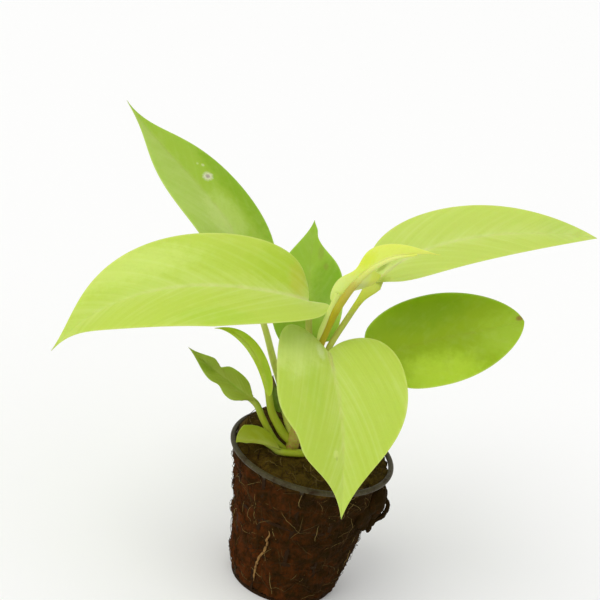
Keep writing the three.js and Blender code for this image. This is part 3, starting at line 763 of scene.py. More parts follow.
def fan_faces(rows, columns):
    """Faces of a grid whose first and last row are single points, and the points round its margin."""
    last = 1 + (rows - 2) * columns

    def index(row, column):
        if row == 0:
            return 0
        if row == rows - 1:
            return last
        return 1 + (row - 1) * columns + column

    faces = []
    for row in range(rows - 1):
        for column in range(columns - 1):
            near = [index(row, column), index(row, column + 1)]
            far = [index(row + 1, column + 1), index(row + 1, column)]
            faces.append(tuple(dict.fromkeys(near + far)))
    left = [index(row, 0) for row in range(rows)]
    right = [index(row, columns - 1) for row in range(rows - 2, 0, -1)]
    return faces, left + right


def point_normals(points, faces):
    """The way that the surface faces at each point."""
    normals = np.zeros_like(points)
    for face in faces:
        a, b, c = (points[i] for i in (face[0], face[1], face[-1]))
        normals[list(face)] += np.cross(b - a, c - a)
    return unit(normals)


def joined(lit_half_pale):
    """A left and a right half side by side, with their shared midrib once."""
    left, right = lit_half_pale
    return np.concatenate([left[:, :0:-1], right], axis=1)


def add_blade(batch, leaf, midrib, sizes, steps=5, columns=14):
    """The blade as a thin closed plate, rounded off at its margin and quilted between its veins."""
    row_count = (leaf["lobe_rows"] + leaf["tip_rows"]) * steps + 1
    rows = np.arange(row_count) / steps
    feet = midrib.length * (rows / rows[-1]) ** ROW_FAN
    share = np.linspace(0, 1, columns + 1)
    runs, outs, places = [], [], []
    for number, side in enumerate((-1, 1)):
        half = half_of(leaf, number)
        outline = half_outline(half, midrib.length, rows)
        run = feet[:, None] + (outline[:, :1] - feet[:, None]) * share
        out = outline[:, 1:] * share
        runs.append(run)
        outs.append(side * out)
        places.append(blade_points(half, midrib, run, out, side))
    run, out, points = joined(runs), joined(outs), joined(places)
    edge = joined([np.tile(share, (row_count, 1))] * 2)
    keep = np.ones(run.shape, bool)
    keep[0, 1:] = keep[-1, 1:] = False
    faces, margin = fan_faces(*run.shape)
    points, run, out, edge = points[keep], run[keep], out[keep], edge[keep]
    edge[0] = edge[-1] = 1
    normals = point_normals(points, faces)
    small = vein_size(leaf)
    vein = vein_foot(leaf, run, out)
    spacing = sizes.vein_spacing / MM * small
    between_veins = np.abs(np.sin(math.pi * vein / spacing)) - VEIN_DEPTH
    quilt = sizes.quilt / MM * small * between_veins * np.sin(math.pi * edge)
    groove = sizes.groove / MM * leaf["rib"] * np.exp(-(out**2)) * np.clip(1 - run / midrib.length, 0, 1)
    half = sizes.blade_thickness / MM * 0.5 * (1 - MARGIN_LOSS * edge**MARGIN_POWER)
    top = points + normals * (half + quilt - groove)[:, None]
    under = points + normals * (quilt - half)[:, None]
    count = len(points)
    closed = list(faces)
    closed += [tuple(count + i for i in reversed(face)) for face in faces]
    closed += [(a, count + a, count + b, b) for a, b in zip(margin[1:] + margin[:1], margin)]
    marks = {
        "run": np.tile(run / midrib.length, 2),
        "out": np.tile(out, 2),
        "edge": np.tile(edge, 2),
        "vein": np.tile(vein, 2),
        "under": np.repeat([0, 1], count),
    }
    batch.add(np.concatenate([top, under]), closed, stalk=0, **marks)


def rounded_curve(points, count):
    """Points along a smooth curve through given points, at even distances."""
    points = [np.asarray(point, float) for point in points]
    points = [2 * points[0] - points[1], *points, 2 * points[-1] - points[-2]]
    dense = []
    for a, b, c, d in zip(points, points[1:], points[2:], points[3:]):
        gap_a, gap_b, gap_c = (np.linalg.norm(q - p) ** 0.5 for p, q in ((a, b), (b, c), (c, d)))
        slope_b = gap_b * ((b - a) / gap_a - (c - a) / (gap_a + gap_b) + (c - b) / gap_b)
        slope_c = gap_b * ((c - b) / gap_b - (d - b) / (gap_b + gap_c) + (d - c) / gap_c)
        corners = [b, b + slope_b / 3, c - slope_c / 3, c]
        dense.append(cubic(corners, np.linspace(0, 1, STEPS_BETWEEN, endpoint=False))[0])
    dense = np.concatenate([*dense, [points[-2]]])
    distance = np.concatenate([[0], np.cumsum(np.linalg.norm(np.diff(dense, axis=0), axis=1))])
    wanted = np.linspace(0, distance[-1], count)
    return np.stack([np.interp(wanted, distance, dense[:, axis]) for axis in range(3)], axis=1)


def closed_faces(rings, sides):
    """Faces of a body of rings of points, closed by the two single points that follow them."""
    faces = []
    end = (rings - 1) * sides
    for near in range(0, end, sides):
        for i in range(sides):
            after = (i + 1) % sides
            faces.append((near + i, near + after, near + after + sides, near + i + sides))
    for i in range(sides):
        after = (i + 1) % sides
        faces.append((rings * sides, after, i))
        faces.append((rings * sides + 1, end + i, end + after))
    return faces


def tube(path, radii, sides, across=X + 0.3 * Y, widths=1):
    """A closed tube along a path. widths make it wider than high in the direction across."""
    along = unit(np.gradient(path, axis=0))
    side = [unit(np.cross(along[0], across))]
    for step in along[1:]:
        side.append(unit(side[-1] - step * np.dot(side[-1], step)))
    side = np.array(side)
    other = np.cross(along, side)
    turn = 2 * math.pi * np.arange(sides) / sides
    radii = np.broadcast_to(radii, len(path))[:, None, None]
    widths = np.broadcast_to(widths, len(path))[:, None, None]
    ring = np.cos(turn)[None, :, None] * side[:, None] + np.sin(turn)[None, :, None] * other[:, None] * widths
    rings = path[:, None] + radii * ring
    points = np.concatenate([rings.reshape(-1, 3), path[:1], path[-1:]])
    share = np.concatenate([np.repeat(np.linspace(0, 1, len(path)), sides), [0, 1]])
    return points, closed_faces(len(path), sides), share


def stem_axis(height):
    """The middle of the stem at a height."""
    foot, top = np.array(STEM_FOOT, float), np.array(STEM_TOP, float)
    return foot + (top - foot) * (height - foot[2]) / (top[2] - foot[2])


def add_wing(batch, steps=40):
    """The pale wing of the new leaf's sheath, which runs down one side of its stalk."""
    path = rounded_curve(NEW_WING, steps)
    share = np.linspace(0, 1, steps)
    half_thickness, half_width = NEW_WING_SIZE
    radii = half_thickness * np.interp(share, NEW_WING_SHARES, NEW_WING_GROWTH)
    points, faces, _ = tube(path, radii, 12, X, half_width / half_thickness)
    batch.add(points, faces, **NEW_WING_TISSUE, edge=0, vein=0, under=0, stalk=0)


def add_stalk(batch, leaf, midrib, steps=60, sides=14):
    """The stalk and the ridge under the midrib that it runs into."""
    step = np.linspace(0, 1, 5)
    share = step * RIDGE_SHARE
    radius = leaf["stalk_radius"] + (RIDGE_TIP_RADIUS - leaf["stalk_radius"]) * step
    point, along, inside = midrib.at(share * midrib.length)
    ridge = point - facing(leaf, along, inside) * (RIDGE_SINK * radius)[:, None]
    path = rounded_curve([stem_axis(leaf["stalk"][0][2] - FOOT_DROP), *leaf["stalk"], *ridge], steps)
    base = np.argmin(np.linalg.norm(path - ridge[0], axis=1)) / (steps - 1)
    share = np.linspace(0, 1, steps)
    radii = np.interp(share, [0, base, 1], [leaf["foot_radius"], leaf["stalk_radius"], RIDGE_TIP_RADIUS])
    before = np.where(share < base, (share - base) / COLLAR_LENGTH, (share - base) / COLLAR_END)
    widths = 1 + leaf["collar"] * np.exp(-(before**2))
    across = np.cross(along[0], facing(leaf, along[0], inside[0]))
    points, faces, share = tube(path, radii, sides, across, widths)
    run = (share - base) / (1 - base) * RIDGE_SHARE
    stalk = np.interp(share, [base - FADE_BEFORE, base + FADE_AFTER, 1], [1, FADE_SHARE, 0])
    batch.add(points, faces, run=run, out=0, edge=0, vein=0.5, under=1, stalk=stalk)


def shaded(tree, tissue, areas, length, run, out):
    """Leaf tissue that takes the shades of some soft areas, each with an uneven border."""
    for area in areas:
        down = (run - area["at"][0]) * (length / area["reach"][0])
        across = (out - area["at"][1]) / area["reach"][1]
        uneven = (tree.speckle(BORDER_SIZE * min(area["reach"]) * MM, 4, 0.6) - 0.5) * BORDER_HEIGHT
        near = tree.spread(down * down + across * across + uneven, 1.1, 0)
        tissue = tree.mixed(near * area["strength"], tissue, linear(area["shade"]))
    return tissue


def leaf_finish(name, leaf, main, stalk_colour, sizes, colours):
    """Leaf tissue: soft streaks along the side veins, patches of other shades, some of them painted shade,
    painted light or a painted highlight, a half made paler as painted light, and a satin skin.
    """
    tree = Tree(name)
    marks = ("run", "out", "edge", "vein", "under", "stalk")
    run, out, edge, vein, under, stalk = (tree.attribute(mark) for mark in marks)
    # Painted light: a half of the blade that faces the light takes more of the pale colour
    left, right = (half_of(leaf, side)["pale"] for side in (0, 1))
    lit_half_pale = left + tree.spread(out, -1.2, 1.2) * (right - left)
    along_veins = tree.node("ShaderNodeCombineXYZ", {}, {0: vein, 1: out * STREAK_CHANGE})
    streak = tree.speckle(STREAK_WIDTH, 2.5, 0.5, along_veins)
    spacing = sizes.vein_spacing / MM * vein_size(leaf)
    from_vein = abs((vein / spacing).math("FRACT") - 0.5) * 2
    vein_line = tree.spread(from_vein, 0.6, 1) * (1 - edge) ** 0.5 * leaf["veins"]
    rib_line = tree.spread(abs(out), 1.3, 0.1) * (1 - run) * leaf["rib"]
    rib_glow = tree.spread(abs(out), 0.4 * leaf["half_width"], 0) * leaf["rib"]
    margin = tree.spread(edge, 0.955, 0.99)
    mottle = tree.speckle(LEAF_MOTTLE, 4, 0.6)
    grain = tree.speckle(LEAF_GRAIN, 2)
    streaked = min(1, STREAK_SHOW * leaf["veins"])
    pale = lit_half_pale + rib_line * 0.45 + rib_glow * 0.2 + vein_line * 0.15 + margin * 0.2
    pale = pale + (mottle - 0.5) * 0.25 + (streak - 0.5) * streaked + under * 0.12
    deep = (0.5 - streak) * streaked + (grain - 0.5) * 0.3
    blade = shaded(tree, main, leaf["patches"], leaf["length"], run, out)
    blade = tree.mixed(pale.clamped(), blade, colours.pale)
    blade = tree.mixed(deep.clamped(), blade, [0.7 * part for part in main])
    fibre = tree.speckle(STALK_FIBRE, 3, 0.5, tree.stretched((1, 1, 0.2)))
    green = tree.mixed(tree.spread(fibre, 0.4, 0.65) * 0.3, stalk_colour, colours.stem)
    green = shaded(tree, green, leaf["stalk_patches"], leaf["length"], run, out)
    surface = {
        "Base Color": tree.mixed(stalk, blade, green),
        "Roughness": 0.42 + (mottle - 0.5) * 0.2 + under * 0.12,
        "Specular IOR Level": 0.2,
        "Subsurface Weight": 0.25,
        "Subsurface Radius": (0.5, 1, 0.15),
        "Subsurface Scale": 0.0012,
    }
    return tree.finish(surface, streak * 0.6 + grain * 0.3 - vein_line)


def make_leaf(node, main, stalk_colour):
    """One leaf with its stalk, which stands for its CAD node."""
    sizes, colours = bpy.context.scene.seedling_sizes, bpy.context.scene.seedling_colours
    leaf = {**PLAIN_LEAF, **LEAVES[node]}
    midrib = Midrib(leaf["line"])
    leaf["length"] = midrib.length
    batch = Batch()
    add_blade(batch, leaf, midrib, sizes)
    add_stalk(batch, leaf, midrib)
    if node == "leaf_new":
        add_wing(batch)
    material = leaf_finish(node + "_tissue", leaf, main, stalk_colour, sizes, colours)
    settle(batch.piece("fine_" + node, material), SLOTS[node], node)


def wall_radius(sizes, height):
    """Outer radius of the pot's wall in millimetres, at a height in millimetres."""
    base, top = sizes.base_radius / MM, sizes.wall_top_radius / MM
    return base + (top - base) * height / (sizes.wall_top_height / MM)


def on_round(angle, radius, height):
    """Places at angles round the upright axis."""
    return np.stack([radius * np.cos(angle), radius * np.sin(angle), height + 0 * angle], axis=-1)


def coir_noise(point):
    """Uneven lumps of coir from about -1 to 1, at a place in millimetres."""
    x, y, z = point
    return sum(
        strength * noise.noise(Vector((level * x, level * y, upright * z)))
        for level, upright, strength in COIR_LAYERS
    )


def coir_wall(sizes, angle, height):
    """Radius of the coir's uneven side."""
    radius = wall_radius(sizes, height)
    lump = coir_noise(on_round(np.array(angle), radius, height))
    return radius + COIR_BULGE + sizes.coir_relief / MM * lump


def coir_top(sizes, x, y):
    """Height of the coir's uneven top."""
    radius = math.hypot(x, y)
    height = COIR_TOP + COIR_MOUND * (1 - radius / wall_radius(sizes, COIR_TOP))
    mound = math.radians(BACK_MOUND["angle"])
    centre = wall_radius(sizes, BACK_MOUND["height"]) + BACK_MOUND["out"]
    out = x * math.cos(mound) + y * math.sin(mound) - centre
    along = y * math.cos(mound) - x * math.sin(mound)
    deep, wide, high = BACK_MOUND["size"]
    rest = 1 - (out / deep) ** 2 - (along / wide) ** 2
    if rest > 0:
        height = max(height, BACK_MOUND["height"] + high * math.sqrt(rest))
    return height + sizes.coir_relief / MM * coir_noise((x, y, height))


def by_wall(sizes, angle_deg, out, height):
    """A place outside the pot's wall."""
    return on_round(np.radians(angle_deg), wall_radius(sizes, height) + out, height)


def roughened(points, centre, amount):
    """Points moved in and out from a centre by the coir's lumps."""
    rough = np.array([coir_noise(LOOSE_SCALE * point) for point in points])
    return points + amount * rough[:, None] * unit(points - centre)


def add_lump(batch, sizes, angle, height, out, size):
    """A rough ball of coir by the wall, with its half-sizes out, round and up."""
    centre = by_wall(sizes, angle, out, height)
    level = np.cos(np.linspace(math.pi, 0, 26)[1:-1])
    ball, faces, _ = tube(level[:, None] * Z, np.sqrt(1 - level**2), 32)
    outward = by_wall(sizes, angle, 0, 0) / sizes.base_radius * MM
    points = centre + (ball * size) @ np.array([outward, np.cross(Z, outward), Z])
    batch.add(roughened(points, centre, LUMP_ROUGHNESS * min(size)), faces)


def add_loose_coir(batch, sizes):
    """The lumps and the thick strand that came loose at the right of the wall."""
    for lump in LOOSE_LUMPS:
        add_lump(batch, sizes, **lump)
    path = rounded_curve([by_wall(sizes, *place) for place in LOOSE_STRAND], 40)
    points, faces, _ = tube(path, LOOSE_STRAND_RADIUS, 12)
    batch.add(roughened(points, path.mean(axis=0), STRAND_ROUGHNESS), faces)


def coir_body(sizes):
    """The plug as rings up its side and in over its top."""
    turn = 2 * math.pi * np.arange(COIR_SECTORS) / COIR_SECTORS
    rings = []
    for height in np.linspace(COIR_LOW, COIR_TOP, WALL_RINGS):
        radii = np.array([coir_wall(sizes, angle, height) for angle in turn])
        rings.append(on_round(turn, radii, height))
    rim = np.linalg.norm(rings[-1][:, :2], axis=1)
    for share in np.linspace(*TOP_SHARES, TOP_RINGS):
        ring = on_round(turn, rim * share, 0)
        ring[:, 2] = [coir_top(sizes, x, y) for x, y in ring[:, :2]]
        rings.append(ring)
    points = np.concatenate([*rings, [(0, 0, COIR_LOW), rings[-1].mean(axis=0)]])
    return points, closed_faces(len(rings), COIR_SECTORS)


def coir_finish(colours):
    """Moist coir: dark in its hollows and, as painted shade, on the right, red-brown on its lumps and low
    down and, as painted light, on the left, olive on top.
    """
    tree = Tree("moist_coir")
    x = tree.part_of_place(0)
    height = tree.part_of_place(2)
    lump = tree.speckle(COIR_PATCH, 5, 0.65)
    strand = tree.speckle(COIR_STRAND, 4, 0.6, tree.stretched((1, 1, 0.35)))
    # Painted light and shade: redder towards the left, where the light comes from, and darker towards the
    # right; also redder on the lumps and low down
    red_lumps_and_left_light = tree.spread(lump * 1.1 + strand * 0.4 - x * 7 - height * 3, 0.45, 1.1)
    side = tree.mixed(red_lumps_and_left_light, colours.coir_dark, colours.coir_red)
    top = tree.mixed(lump, colours.coir_dark, colours.coir_top)
    on_top = tree.spread(height + (lump - 0.5) * 0.004, *COIR_TURN)
    coir = tree.mixed(on_top * 0.75, side, top)
    surface = {"Base Color": coir, "Roughness": 1 - strand * 0.2, "Specular IOR Level": 0.06}
    return tree.finish(surface, lump * 0.5 + strand, 0.0006)


def fibre_finish(colours):
    """Coir fibres, each of its own shade between dark and pale."""
    tree = Tree("coir_fibres")
    shade = tree.attribute("shade")
    cloud = tree.speckle(COIR_PATCH, 3)
    paleness = (shade * 0.9 + (cloud - 0.5) * 0.25).clamped()
    strand = tree.mixed(paleness, colours.fibre_dark, colours.fibre_pale)
    surface = {"Base Color": strand, "Roughness": 0.7 + cloud * 0.3, "Specular IOR Level": 0.1}
    return tree.finish(surface, tree.speckle(0.0004, 3), 0.00005)


def add_fibre(rng, sizes, batch, path, sides=3):
    """A thin tapered strand along a path, of a random size and shade."""
    radius = sizes.fibre_radius / MM * rng.uniform(*FIBRE_SIZES)
    shade = rng.random() ** PALE_FIBRES
    share = np.linspace(0, 1, len(path))
    radii = radius * (1 - FIBRE_TAPER * np.abs(2 * share - 1) ** 3)
    points, faces, _ = tube(np.array(path), radii, sides)
    batch.add(points, faces, shade=shade)


def wall_fibre(rng, sizes, batch):
    """A strand that winds over the side of the coir, with its ends drawn in."""
    angle = rng.uniform(0, 2 * math.pi)
    height = rng.uniform(*FIBRE_STARTS)
    upright = rng.random() < UPRIGHT_SHARE
    heading = rng.gauss(math.pi / 2, UPRIGHT_SPREAD) if upright else rng.uniform(0, math.pi)
    steps = rng.randint(*WALL_WALK["steps"])
    stride = rng.uniform(*WALL_WALK["stride"])
    turn = rng.gauss(0, WALL_WALK["turn"])
    lift = abs(rng.gauss(*WALL_WALK["lift"]))
    path = []
    for step in range(steps):
        share = step / (steps - 1)
        height = min(max(height, FIBRE_HEIGHTS[0]), FIBRE_HEIGHTS[1])
        radius = coir_wall(sizes, angle, height) + lift * math.sin(math.pi * share)
        radius -= WALL_WALK["drawn_in"]
        path.append((radius * math.cos(angle), radius * math.sin(angle), height))
        heading += turn + rng.gauss(0, WALL_WALK["wobble"])
        angle += stride * math.cos(heading) / radius
        height += stride * math.sin(heading)
    add_fibre(rng, sizes, batch, path)


def top_fibre(rng, sizes, batch):
    """A strand that lies on the top of the coir, and may rise out of it."""
    around = rng.uniform(0, 2 * math.pi)
    radius = TOP_START * math.sqrt(rng.random())
    x, y = radius * math.cos(around), radius * math.sin(around)
    heading = rng.uniform(0, 2 * math.pi)
    steps = rng.randint(*TOP_WALK["steps"])
    stride = rng.uniform(*TOP_WALK["stride"])
    lift = abs(rng.gauss(*TOP_WALK["lift"]))
    turn = rng.gauss(0, TOP_WALK["turn"])
    path = []
    for step in range(steps):
        share = step / (steps - 1)
        away = math.hypot(x, y)
        if away > TOP_REACH:
            x, y = x * TOP_REACH / away, y * TOP_REACH / away
        height = coir_top(sizes, x, y) + lift * math.sin(math.pi * share) - TOP_WALK["drawn_in"]
        path.append((x, y, height))
        heading += turn + rng.gauss(0, TOP_WALK["wobble"])
        x += stride * math.cos(heading)
        y += stride * math.sin(heading)
    add_fibre(rng, sizes, batch, path)


def lathe(profile, sectors):
    """A ring round the upright axis from a closed section of (radius, height) corners."""
    turn = 2 * math.pi * np.arange(sectors) / sectors
    count = len(profile)
    radius, height = np.tile(np.array(profile, float), (sectors, 1)).T
    points = on_round(np.repeat(turn, count), radius, height)
    faces = []
    for sector in range(sectors):
        here, there = sector * count, (sector + 1) % sectors * count
        for i in range(count):
            after = (i + 1) % count
            faces.append((here + i, there + i, there + after, here + after))
    return points, faces


def rounded_section(corners, radius, steps=3):
    """A closed outline with its corners rounded off."""
    corners = [np.array(corner, float) for corner in corners]
    outline = []
    for i, corner in enumerate(corners):
        before, after = corners[i - 1], corners[(i + 1) % len(corners)]
        start = corner + unit(before - corner) * radius
        end = corner + unit(after - corner) * radius
        for step in range(steps + 1):
            t = step / steps
            outline.append((1 - t) ** 2 * start + 2 * (1 - t) * t * corner + t**2 * end)
    return outline


def rim_middle(sizes):
    """The radius and the height of the rim ring's middle line, in millimetres."""
    return (sizes.rim_radius - sizes.rim_wire) / MM, (sizes.pot_height - sizes.rim_wire) / MM


def add_rings(batch, sizes):
    """The pot's rim ring, base disc and hoops."""
    wire = sizes.rim_wire / MM
    ring_radius, ring_height = rim_middle(sizes)
    around = 2 * math.pi * np.arange(20) / 20
    ring = [(ring_radius + wire * math.cos(a), ring_height + wire * math.sin(a)) for a in around]
    batch.add(*lathe(ring, 160))
    base, thickness = sizes.base_radius / MM, sizes.base_thickness / MM
    middle = 2 * BASE_EDGE
    disc = [(middle, 0), (base, 0), (base, thickness), (middle, thickness)]
    batch.add(*lathe(rounded_section(disc, BASE_EDGE), 96))
    depth, width = sizes.rib_depth / MM, sizes.rib_width / MM
    for height in HOOP_HEIGHTS:
        low, high = height - width / 2, height + width / 2
        r_low, r_high = wall_radius(sizes, low), wall_radius(sizes, high)
        section = [(r_low - depth, low), (r_low, low), (r_high, high), (r_high - depth, high)]
        batch.add(*lathe(rounded_section(section, HOOP_EDGE), 144))


def add_ribs(batch, sizes):
    """The upright ribs from the base to the rim ring, each of four layers with bevelled sides."""
    depth, width = sizes.rib_depth / MM, sizes.rib_width / MM
    wire, base = sizes.rim_wire / MM, sizes.base_radius / MM
    top, wall_top = sizes.wall_top_height / MM, sizes.wall_top_radius / MM
    ring_radius, ring_height = rim_middle(sizes)
    foot = [(base - depth, 0), (base, 0)]
    at_ring = [(ring_radius, ring_height - wire / 2), (ring_radius, ring_height + wire / 2)]
    corners = [*foot, (wall_top, top), *at_ring, (wall_top - depth, top)]
    outline = np.array(rounded_section(corners, RIB_EDGE))
    inward = unit(outline.mean(axis=0) - outline)
    count = len(outline)
    faces = [tuple(range(count)), tuple(reversed(range(3 * count, 4 * count)))]
    for layer in range(3):
        for i in range(count):
            near, after = layer * count + i, layer * count + (i + 1) % count
            faces.append((after, near, near + count, after + count))
    for rib in range(sizes.rib_count):
        turn = 2 * math.pi * rib / sizes.rib_count
        out = np.array((math.cos(turn), math.sin(turn), 0))
        side = np.cross(Z, out)
        layers = []
        for share, bevel in ((-0.5, RIB_BEVEL), (-0.35, 0), (0.35, 0), (0.5, RIB_BEVEL)):
            flat = outline + bevel * inward
            layers.append(flat[:, :1] * out + flat[:, 1:] * Z + share * width * side)
        batch.add(np.concatenate(layers), faces)


def pot_finish(colours):
    """Moulded grey-olive plastic with coir dust and scuffs, and less dust above the wall."""
    tree = Tree("net_pot_plastic")
    cloud = tree.speckle(DUST_PATCH, 5, 0.6)
    fine = tree.speckle(DUST_GRAIN, 4, 0.6)
    above_wall = tree.spread(tree.part_of_place(2), *RIM_TURN)
    dirt = tree.spread(cloud * 0.7 + fine * 0.3 - above_wall * 0.3, 0.2, 0.42)
    scuffed = tree.mixed(tree.spread(fine, 0.5, 0.8) * 0.3, colours.pot, colours.pot_scuff)
    plastic = tree.mixed(dirt, scuffed, colours.dirt)
    surface = {"Base Color": plastic, "Roughness": 0.4 + dirt * 0.45 + fine * 0.1, "Specular IOR Level": 0.15}
    return tree.finish(surface, fine * 0.6 + dirt * 0.8, 0.0001)


def root_body(sizes, steps=70, rings=110):
    """The root as a tube with crooks and knots, drawn out at both ends."""
    shares = np.linspace(0, 1, steps)
    path = []
    radii = []
    for share in shares:
        angle, height = np.array(ROOT_TOP) + (np.array(ROOT_FOOT) - ROOT_TOP) * share
        crook = ROOT_CROOK * noise.noise(Vector((9 * share, 0, 0)))
        angle = math.radians(angle + ROOT_SWAY * math.sin(2 * math.pi * share) + crook)
        lift = ROOT_ON_COIR + ROOT_LIFT * noise.noise(Vector((7 * share, 5, 0)))
        path.append(on_round(np.array(angle), coir_wall(sizes, angle, height) + lift, height))
        knot = 1 + ROOT_KNOTS * noise.noise(Vector((16 * share, 9, 0)))
        radii.append(sizes.root_radius / MM * knot * (1 - ROOT_TAPER * abs(2 * share - 1) ** 4))
    radii = np.interp(np.linspace(0, 1, rings), shares, radii)
    points, faces, _ = tube(rounded_curve(path[::3], rings), radii, 12)
    return points, faces


def root_finish(colours):
    """The dull tan bark of a thin root, darker in places."""
    tree = Tree("root_bark")
    cloud = tree.speckle(BARK_PATCH, 4, 0.6)
    bark = tree.mixed(tree.spread(cloud, 0.4, 0.7) * 0.7, colours.root, colours.coir_red)
    return tree.finish({"Base Color": bark, "Roughness": 0.8, "Specular IOR Level": 0.15}, cloud, 0.0002)


def stem_finish(colours):
    """Streaked olive skin with red specks, more of them near the foot."""
    tree = Tree("stem_skin")
    streak = tree.speckle(STEM_STREAK, 4, 0.6, tree.stretched((1, 1, 0.25)))
    near_foot = tree.spread(tree.part_of_place(2), *SPECKS_FROM)
    speck = tree.spread(tree.speckle(STEM_SPECK, 2) + near_foot * 0.1, 0.6, 0.68)
    skin = tree.mixed(tree.spread(streak, 0.4, 0.75) * 0.6, colours.stem, colours.stalk)
    skin = tree.mixed(speck * 0.7, skin, colours.stem_speck)
    return tree.finish({"Base Color": skin, "Roughness": 0.5 + streak * 0.15}, streak, 0.00015)


class SEEDLING_OT_broad_leaves(bpy.types.Operator):
    """Makes the six broad leaves with their stalks"""

    bl_idname = "seedling.broad_leaves"
    bl_label = "Broad leaves"

    def execute(self, context):
        colours = context.scene.seedling_colours
        for node in BROAD_LEAVES:
            make_leaf(node, getattr(colours, node.removeprefix("leaf_")), colours.stalk)
        return {"FINISHED"}


class SEEDLING_OT_new_leaf(bpy.types.Operator):
    """Makes the young leaf that still unfolds"""

    bl_idname = "seedling.new_leaf"
    bl_label = "New leaf"

    def execute(self, context):
        colours = context.scene.seedling_colours
        make_leaf("leaf_new", colours.new, colours.new_stalk)
        return {"FINISHED"}


class SEEDLING_OT_small_leaves(bpy.types.Operator):
    """Makes the small leaves at the foot of the stem and the dried sheath"""

    bl_idname = "seedling.small_leaves"
    bl_label = "Small leaves"

    def execute(self, context):
        colours = context.scene.seedling_colours
        for node in SMALL_LEAVES:
            name = node.removeprefix("leaf_").removeprefix("sheath_")
            stalk_colour = colours.dried if name == "dried" else colours.small_stalk
            make_leaf(node, getattr(colours, name), stalk_colour)
        return {"FINISHED"}


class SEEDLING_OT_stem(bpy.types.Operator):
    """Makes the main stem with its joints"""

    bl_idname = "seedling.stem"
    bl_label = "Stem"

    def execute(self, context):
        sizes, colours = context.scene.seedling_sizes, context.scene.seedling_colours
        share = np.linspace(0, 1, 120)
        path = np.array([stem_axis(STEM_FOOT[2] + (STEM_TOP[2] - STEM_FOOT[2]) * step) for step in share])
        radii = np.interp(share, [0, 1], [sizes.stem_foot_radius / MM, sizes.stem_top_radius / MM])
        for joint in STEM_JOINTS:
            radii += JOINT_RISE * np.exp(-(((path[:, 2] - joint) / JOINT_REACH) ** 2))
        points, faces, _ = tube(path, radii, 24)
        piece = make_piece("fine_main_stem", points, faces, stem_finish(colours))
        settle(piece, SLOTS["main_stem"], "main_stem")
        return {"FINISHED"}


class SEEDLING_OT_coir(bpy.types.Operator):
    """Makes the plug of coir with its lumps and its loose clump"""

    bl_idname = "seedling.coir"
    bl_label = "Coir"

    def execute(self, context):
        sizes, colours = context.scene.seedling_sizes, context.scene.seedling_colours
        batch = Batch()
        batch.add(*coir_body(sizes))
        add_loose_coir(batch, sizes)
        settle(batch.piece("fine_coir", coir_finish(colours), 180), SLOTS["coir_plug"], "coir_plug")
        return {"FINISHED"}


class SEEDLING_OT_fibres(bpy.types.Operator):
    """Makes the fibres over the side and the top of the coir"""

    bl_idname = "seedling.fibres"
    bl_label = "Coir fibres"

    def execute(self, context):
        sizes, colours = context.scene.seedling_sizes, context.scene.seedling_colours
        material = fibre_finish(colours)
        for name, make, count in (
            ("coir_fibres_wall", wall_fibre, sizes.wall_fibres),
            ("coir_fibres_top", top_fibre, sizes.top_fibres),
        ):
            rng = random.Random(name)
            batch = Batch()
            for _ in range(count):
                make(rng, sizes, batch)
            settle(batch.piece(name, material), SLOTS["coir_plug"])
        return {"FINISHED"}


class SEEDLING_OT_root(bpy.types.Operator):
    """Makes the thin root that runs down over the coir"""

    bl_idname = "seedling.root"
    bl_label = "Outer root"

    def execute(self, context):
        sizes, colours = context.scene.seedling_sizes, context.scene.seedling_colours
        piece = make_piece("fine_outer_root", *root_body(sizes), root_finish(colours))
        settle(piece, SLOTS["outer_root"], "outer_root")
        return {"FINISHED"}


class SEEDLING_OT_net_pot(bpy.types.Operator):
    """Makes the ribbed net pot with its rim ring"""

    bl_idname = "seedling.net_pot"
    bl_label = "Net pot"

    def execute(self, context):
        sizes, colours = context.scene.seedling_sizes, context.scene.seedling_colours
        batch = Batch()
        add_rings(batch, sizes)
        add_ribs(batch, sizes)
        settle(batch.piece("fine_net_pot", pot_finish(colours), 40), SLOTS["net_pot"], "net_pot")
        return {"FINISHED"}


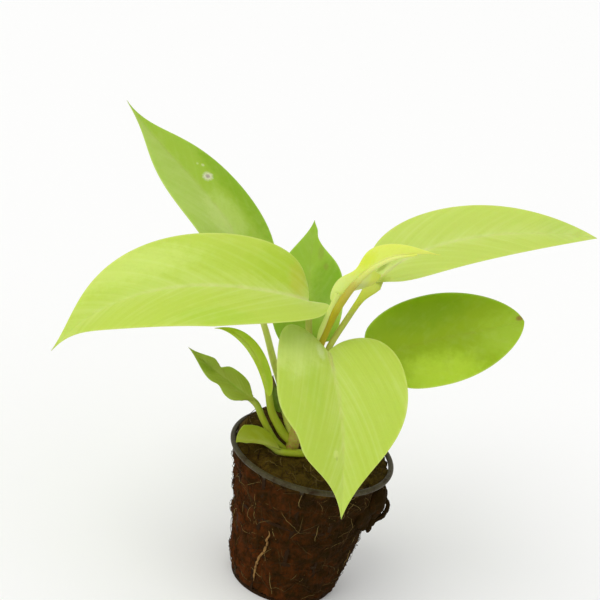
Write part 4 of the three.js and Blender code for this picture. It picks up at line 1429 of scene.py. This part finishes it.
class SEEDLING_OT_stage(bpy.types.Operator):
    """Makes the pale floor, the soft studio light and the camera"""

    bl_idname = "seedling.stage"
    bl_label = "Stage"

    def execute(self, context):
        scene = context.scene
        stage = scene.seedling_stage
        half = stage.floor_side / MM / 2
        corners = [(-half, -half, 0), (half, -half, 0), (half, half, 0), (-half, half, 0)]
        tree = Tree("pale_floor")
        surface = {"Base Color": scene.seedling_colours.floor, "Roughness": 0.9}
        floor = make_piece("floor", corners, [(0, 1, 2, 3)], tree.finish(surface))
        world = bpy.data.worlds.new("studio")
        world.use_nodes = True
        background = world.node_tree.nodes["Background"]
        background.inputs["Color"].default_value = (1, 1, 1, 1)
        background.inputs["Strength"].default_value = stage.sky
        scene.world = world
        light = bpy.data.lights.new("key", "SUN")
        light.energy = stage.key
        light.angle = stage.key_spread
        lamp = bpy.data.objects.new("key", light)
        lamp.rotation_euler = (-Vector(KEY_FROM)).to_track_quat("-Z", "Y").to_euler()
        scene.collection.objects.link(lamp)
        camera = bpy.data.objects.new("camera", bpy.data.cameras.new("camera"))
        camera.data.sensor_width = CAMERA_SENSOR
        camera.data.lens = CAMERA_LENS
        camera.data.clip_start, camera.data.clip_end = CAMERA_CLIP
        axes = Matrix([CAMERA_RIGHT, CAMERA_UP, [-part for part in CAMERA_VIEW]]).transposed()
        camera.matrix_world = Matrix.Translation(CAMERA_PLACE) @ axes.to_4x4()
        scene.collection.objects.link(camera)
        scene.camera = camera
        scene.view_settings.view_transform = "Standard"
        return {"FINISHED"}


OPERATORS = (
    SEEDLING_OT_broad_leaves,
    SEEDLING_OT_new_leaf,
    SEEDLING_OT_small_leaves,
    SEEDLING_OT_stem,
    SEEDLING_OT_coir,
    SEEDLING_OT_fibres,
    SEEDLING_OT_root,
    SEEDLING_OT_net_pot,
    SEEDLING_OT_stage,
)


class SEEDLING_PT_panel(bpy.types.Panel):
    """Lists the seedling's pieces, sizes and colours"""

    bl_idname = "SEEDLING_PT_panel"
    bl_label = "Seedling"
    bl_space_type = "VIEW_3D"
    bl_region_type = "UI"
    bl_category = "Seedling"

    def draw(self, context):
        scene = context.scene
        for operator in OPERATORS:
            self.layout.operator(operator.bl_idname)
        for group in (scene.seedling_sizes, scene.seedling_colours, scene.seedling_stage):
            box = self.layout.box()
            for name in group.__annotations__:
                box.prop(group, name)


CLASSES = (SeedlingColours, SeedlingSizes, SeedlingStage, *OPERATORS, SEEDLING_PT_panel)


def register():
    for cls in CLASSES:
        bpy.utils.register_class(cls)
    bpy.types.Scene.seedling_colours = PointerProperty(type=SeedlingColours)
    bpy.types.Scene.seedling_sizes = PointerProperty(type=SeedlingSizes)
    bpy.types.Scene.seedling_stage = PointerProperty(type=SeedlingStage)


def unregister():
    del bpy.types.Scene.seedling_colours
    del bpy.types.Scene.seedling_sizes
    del bpy.types.Scene.seedling_stage
    for cls in reversed(CLASSES):
        bpy.utils.unregister_class(cls)


def main():
    register()
    for operator in OPERATORS:
        group, name = operator.bl_idname.split(".")
        getattr(getattr(bpy.ops, group), name)()
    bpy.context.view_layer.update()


if __name__ == "__main__":
    main()
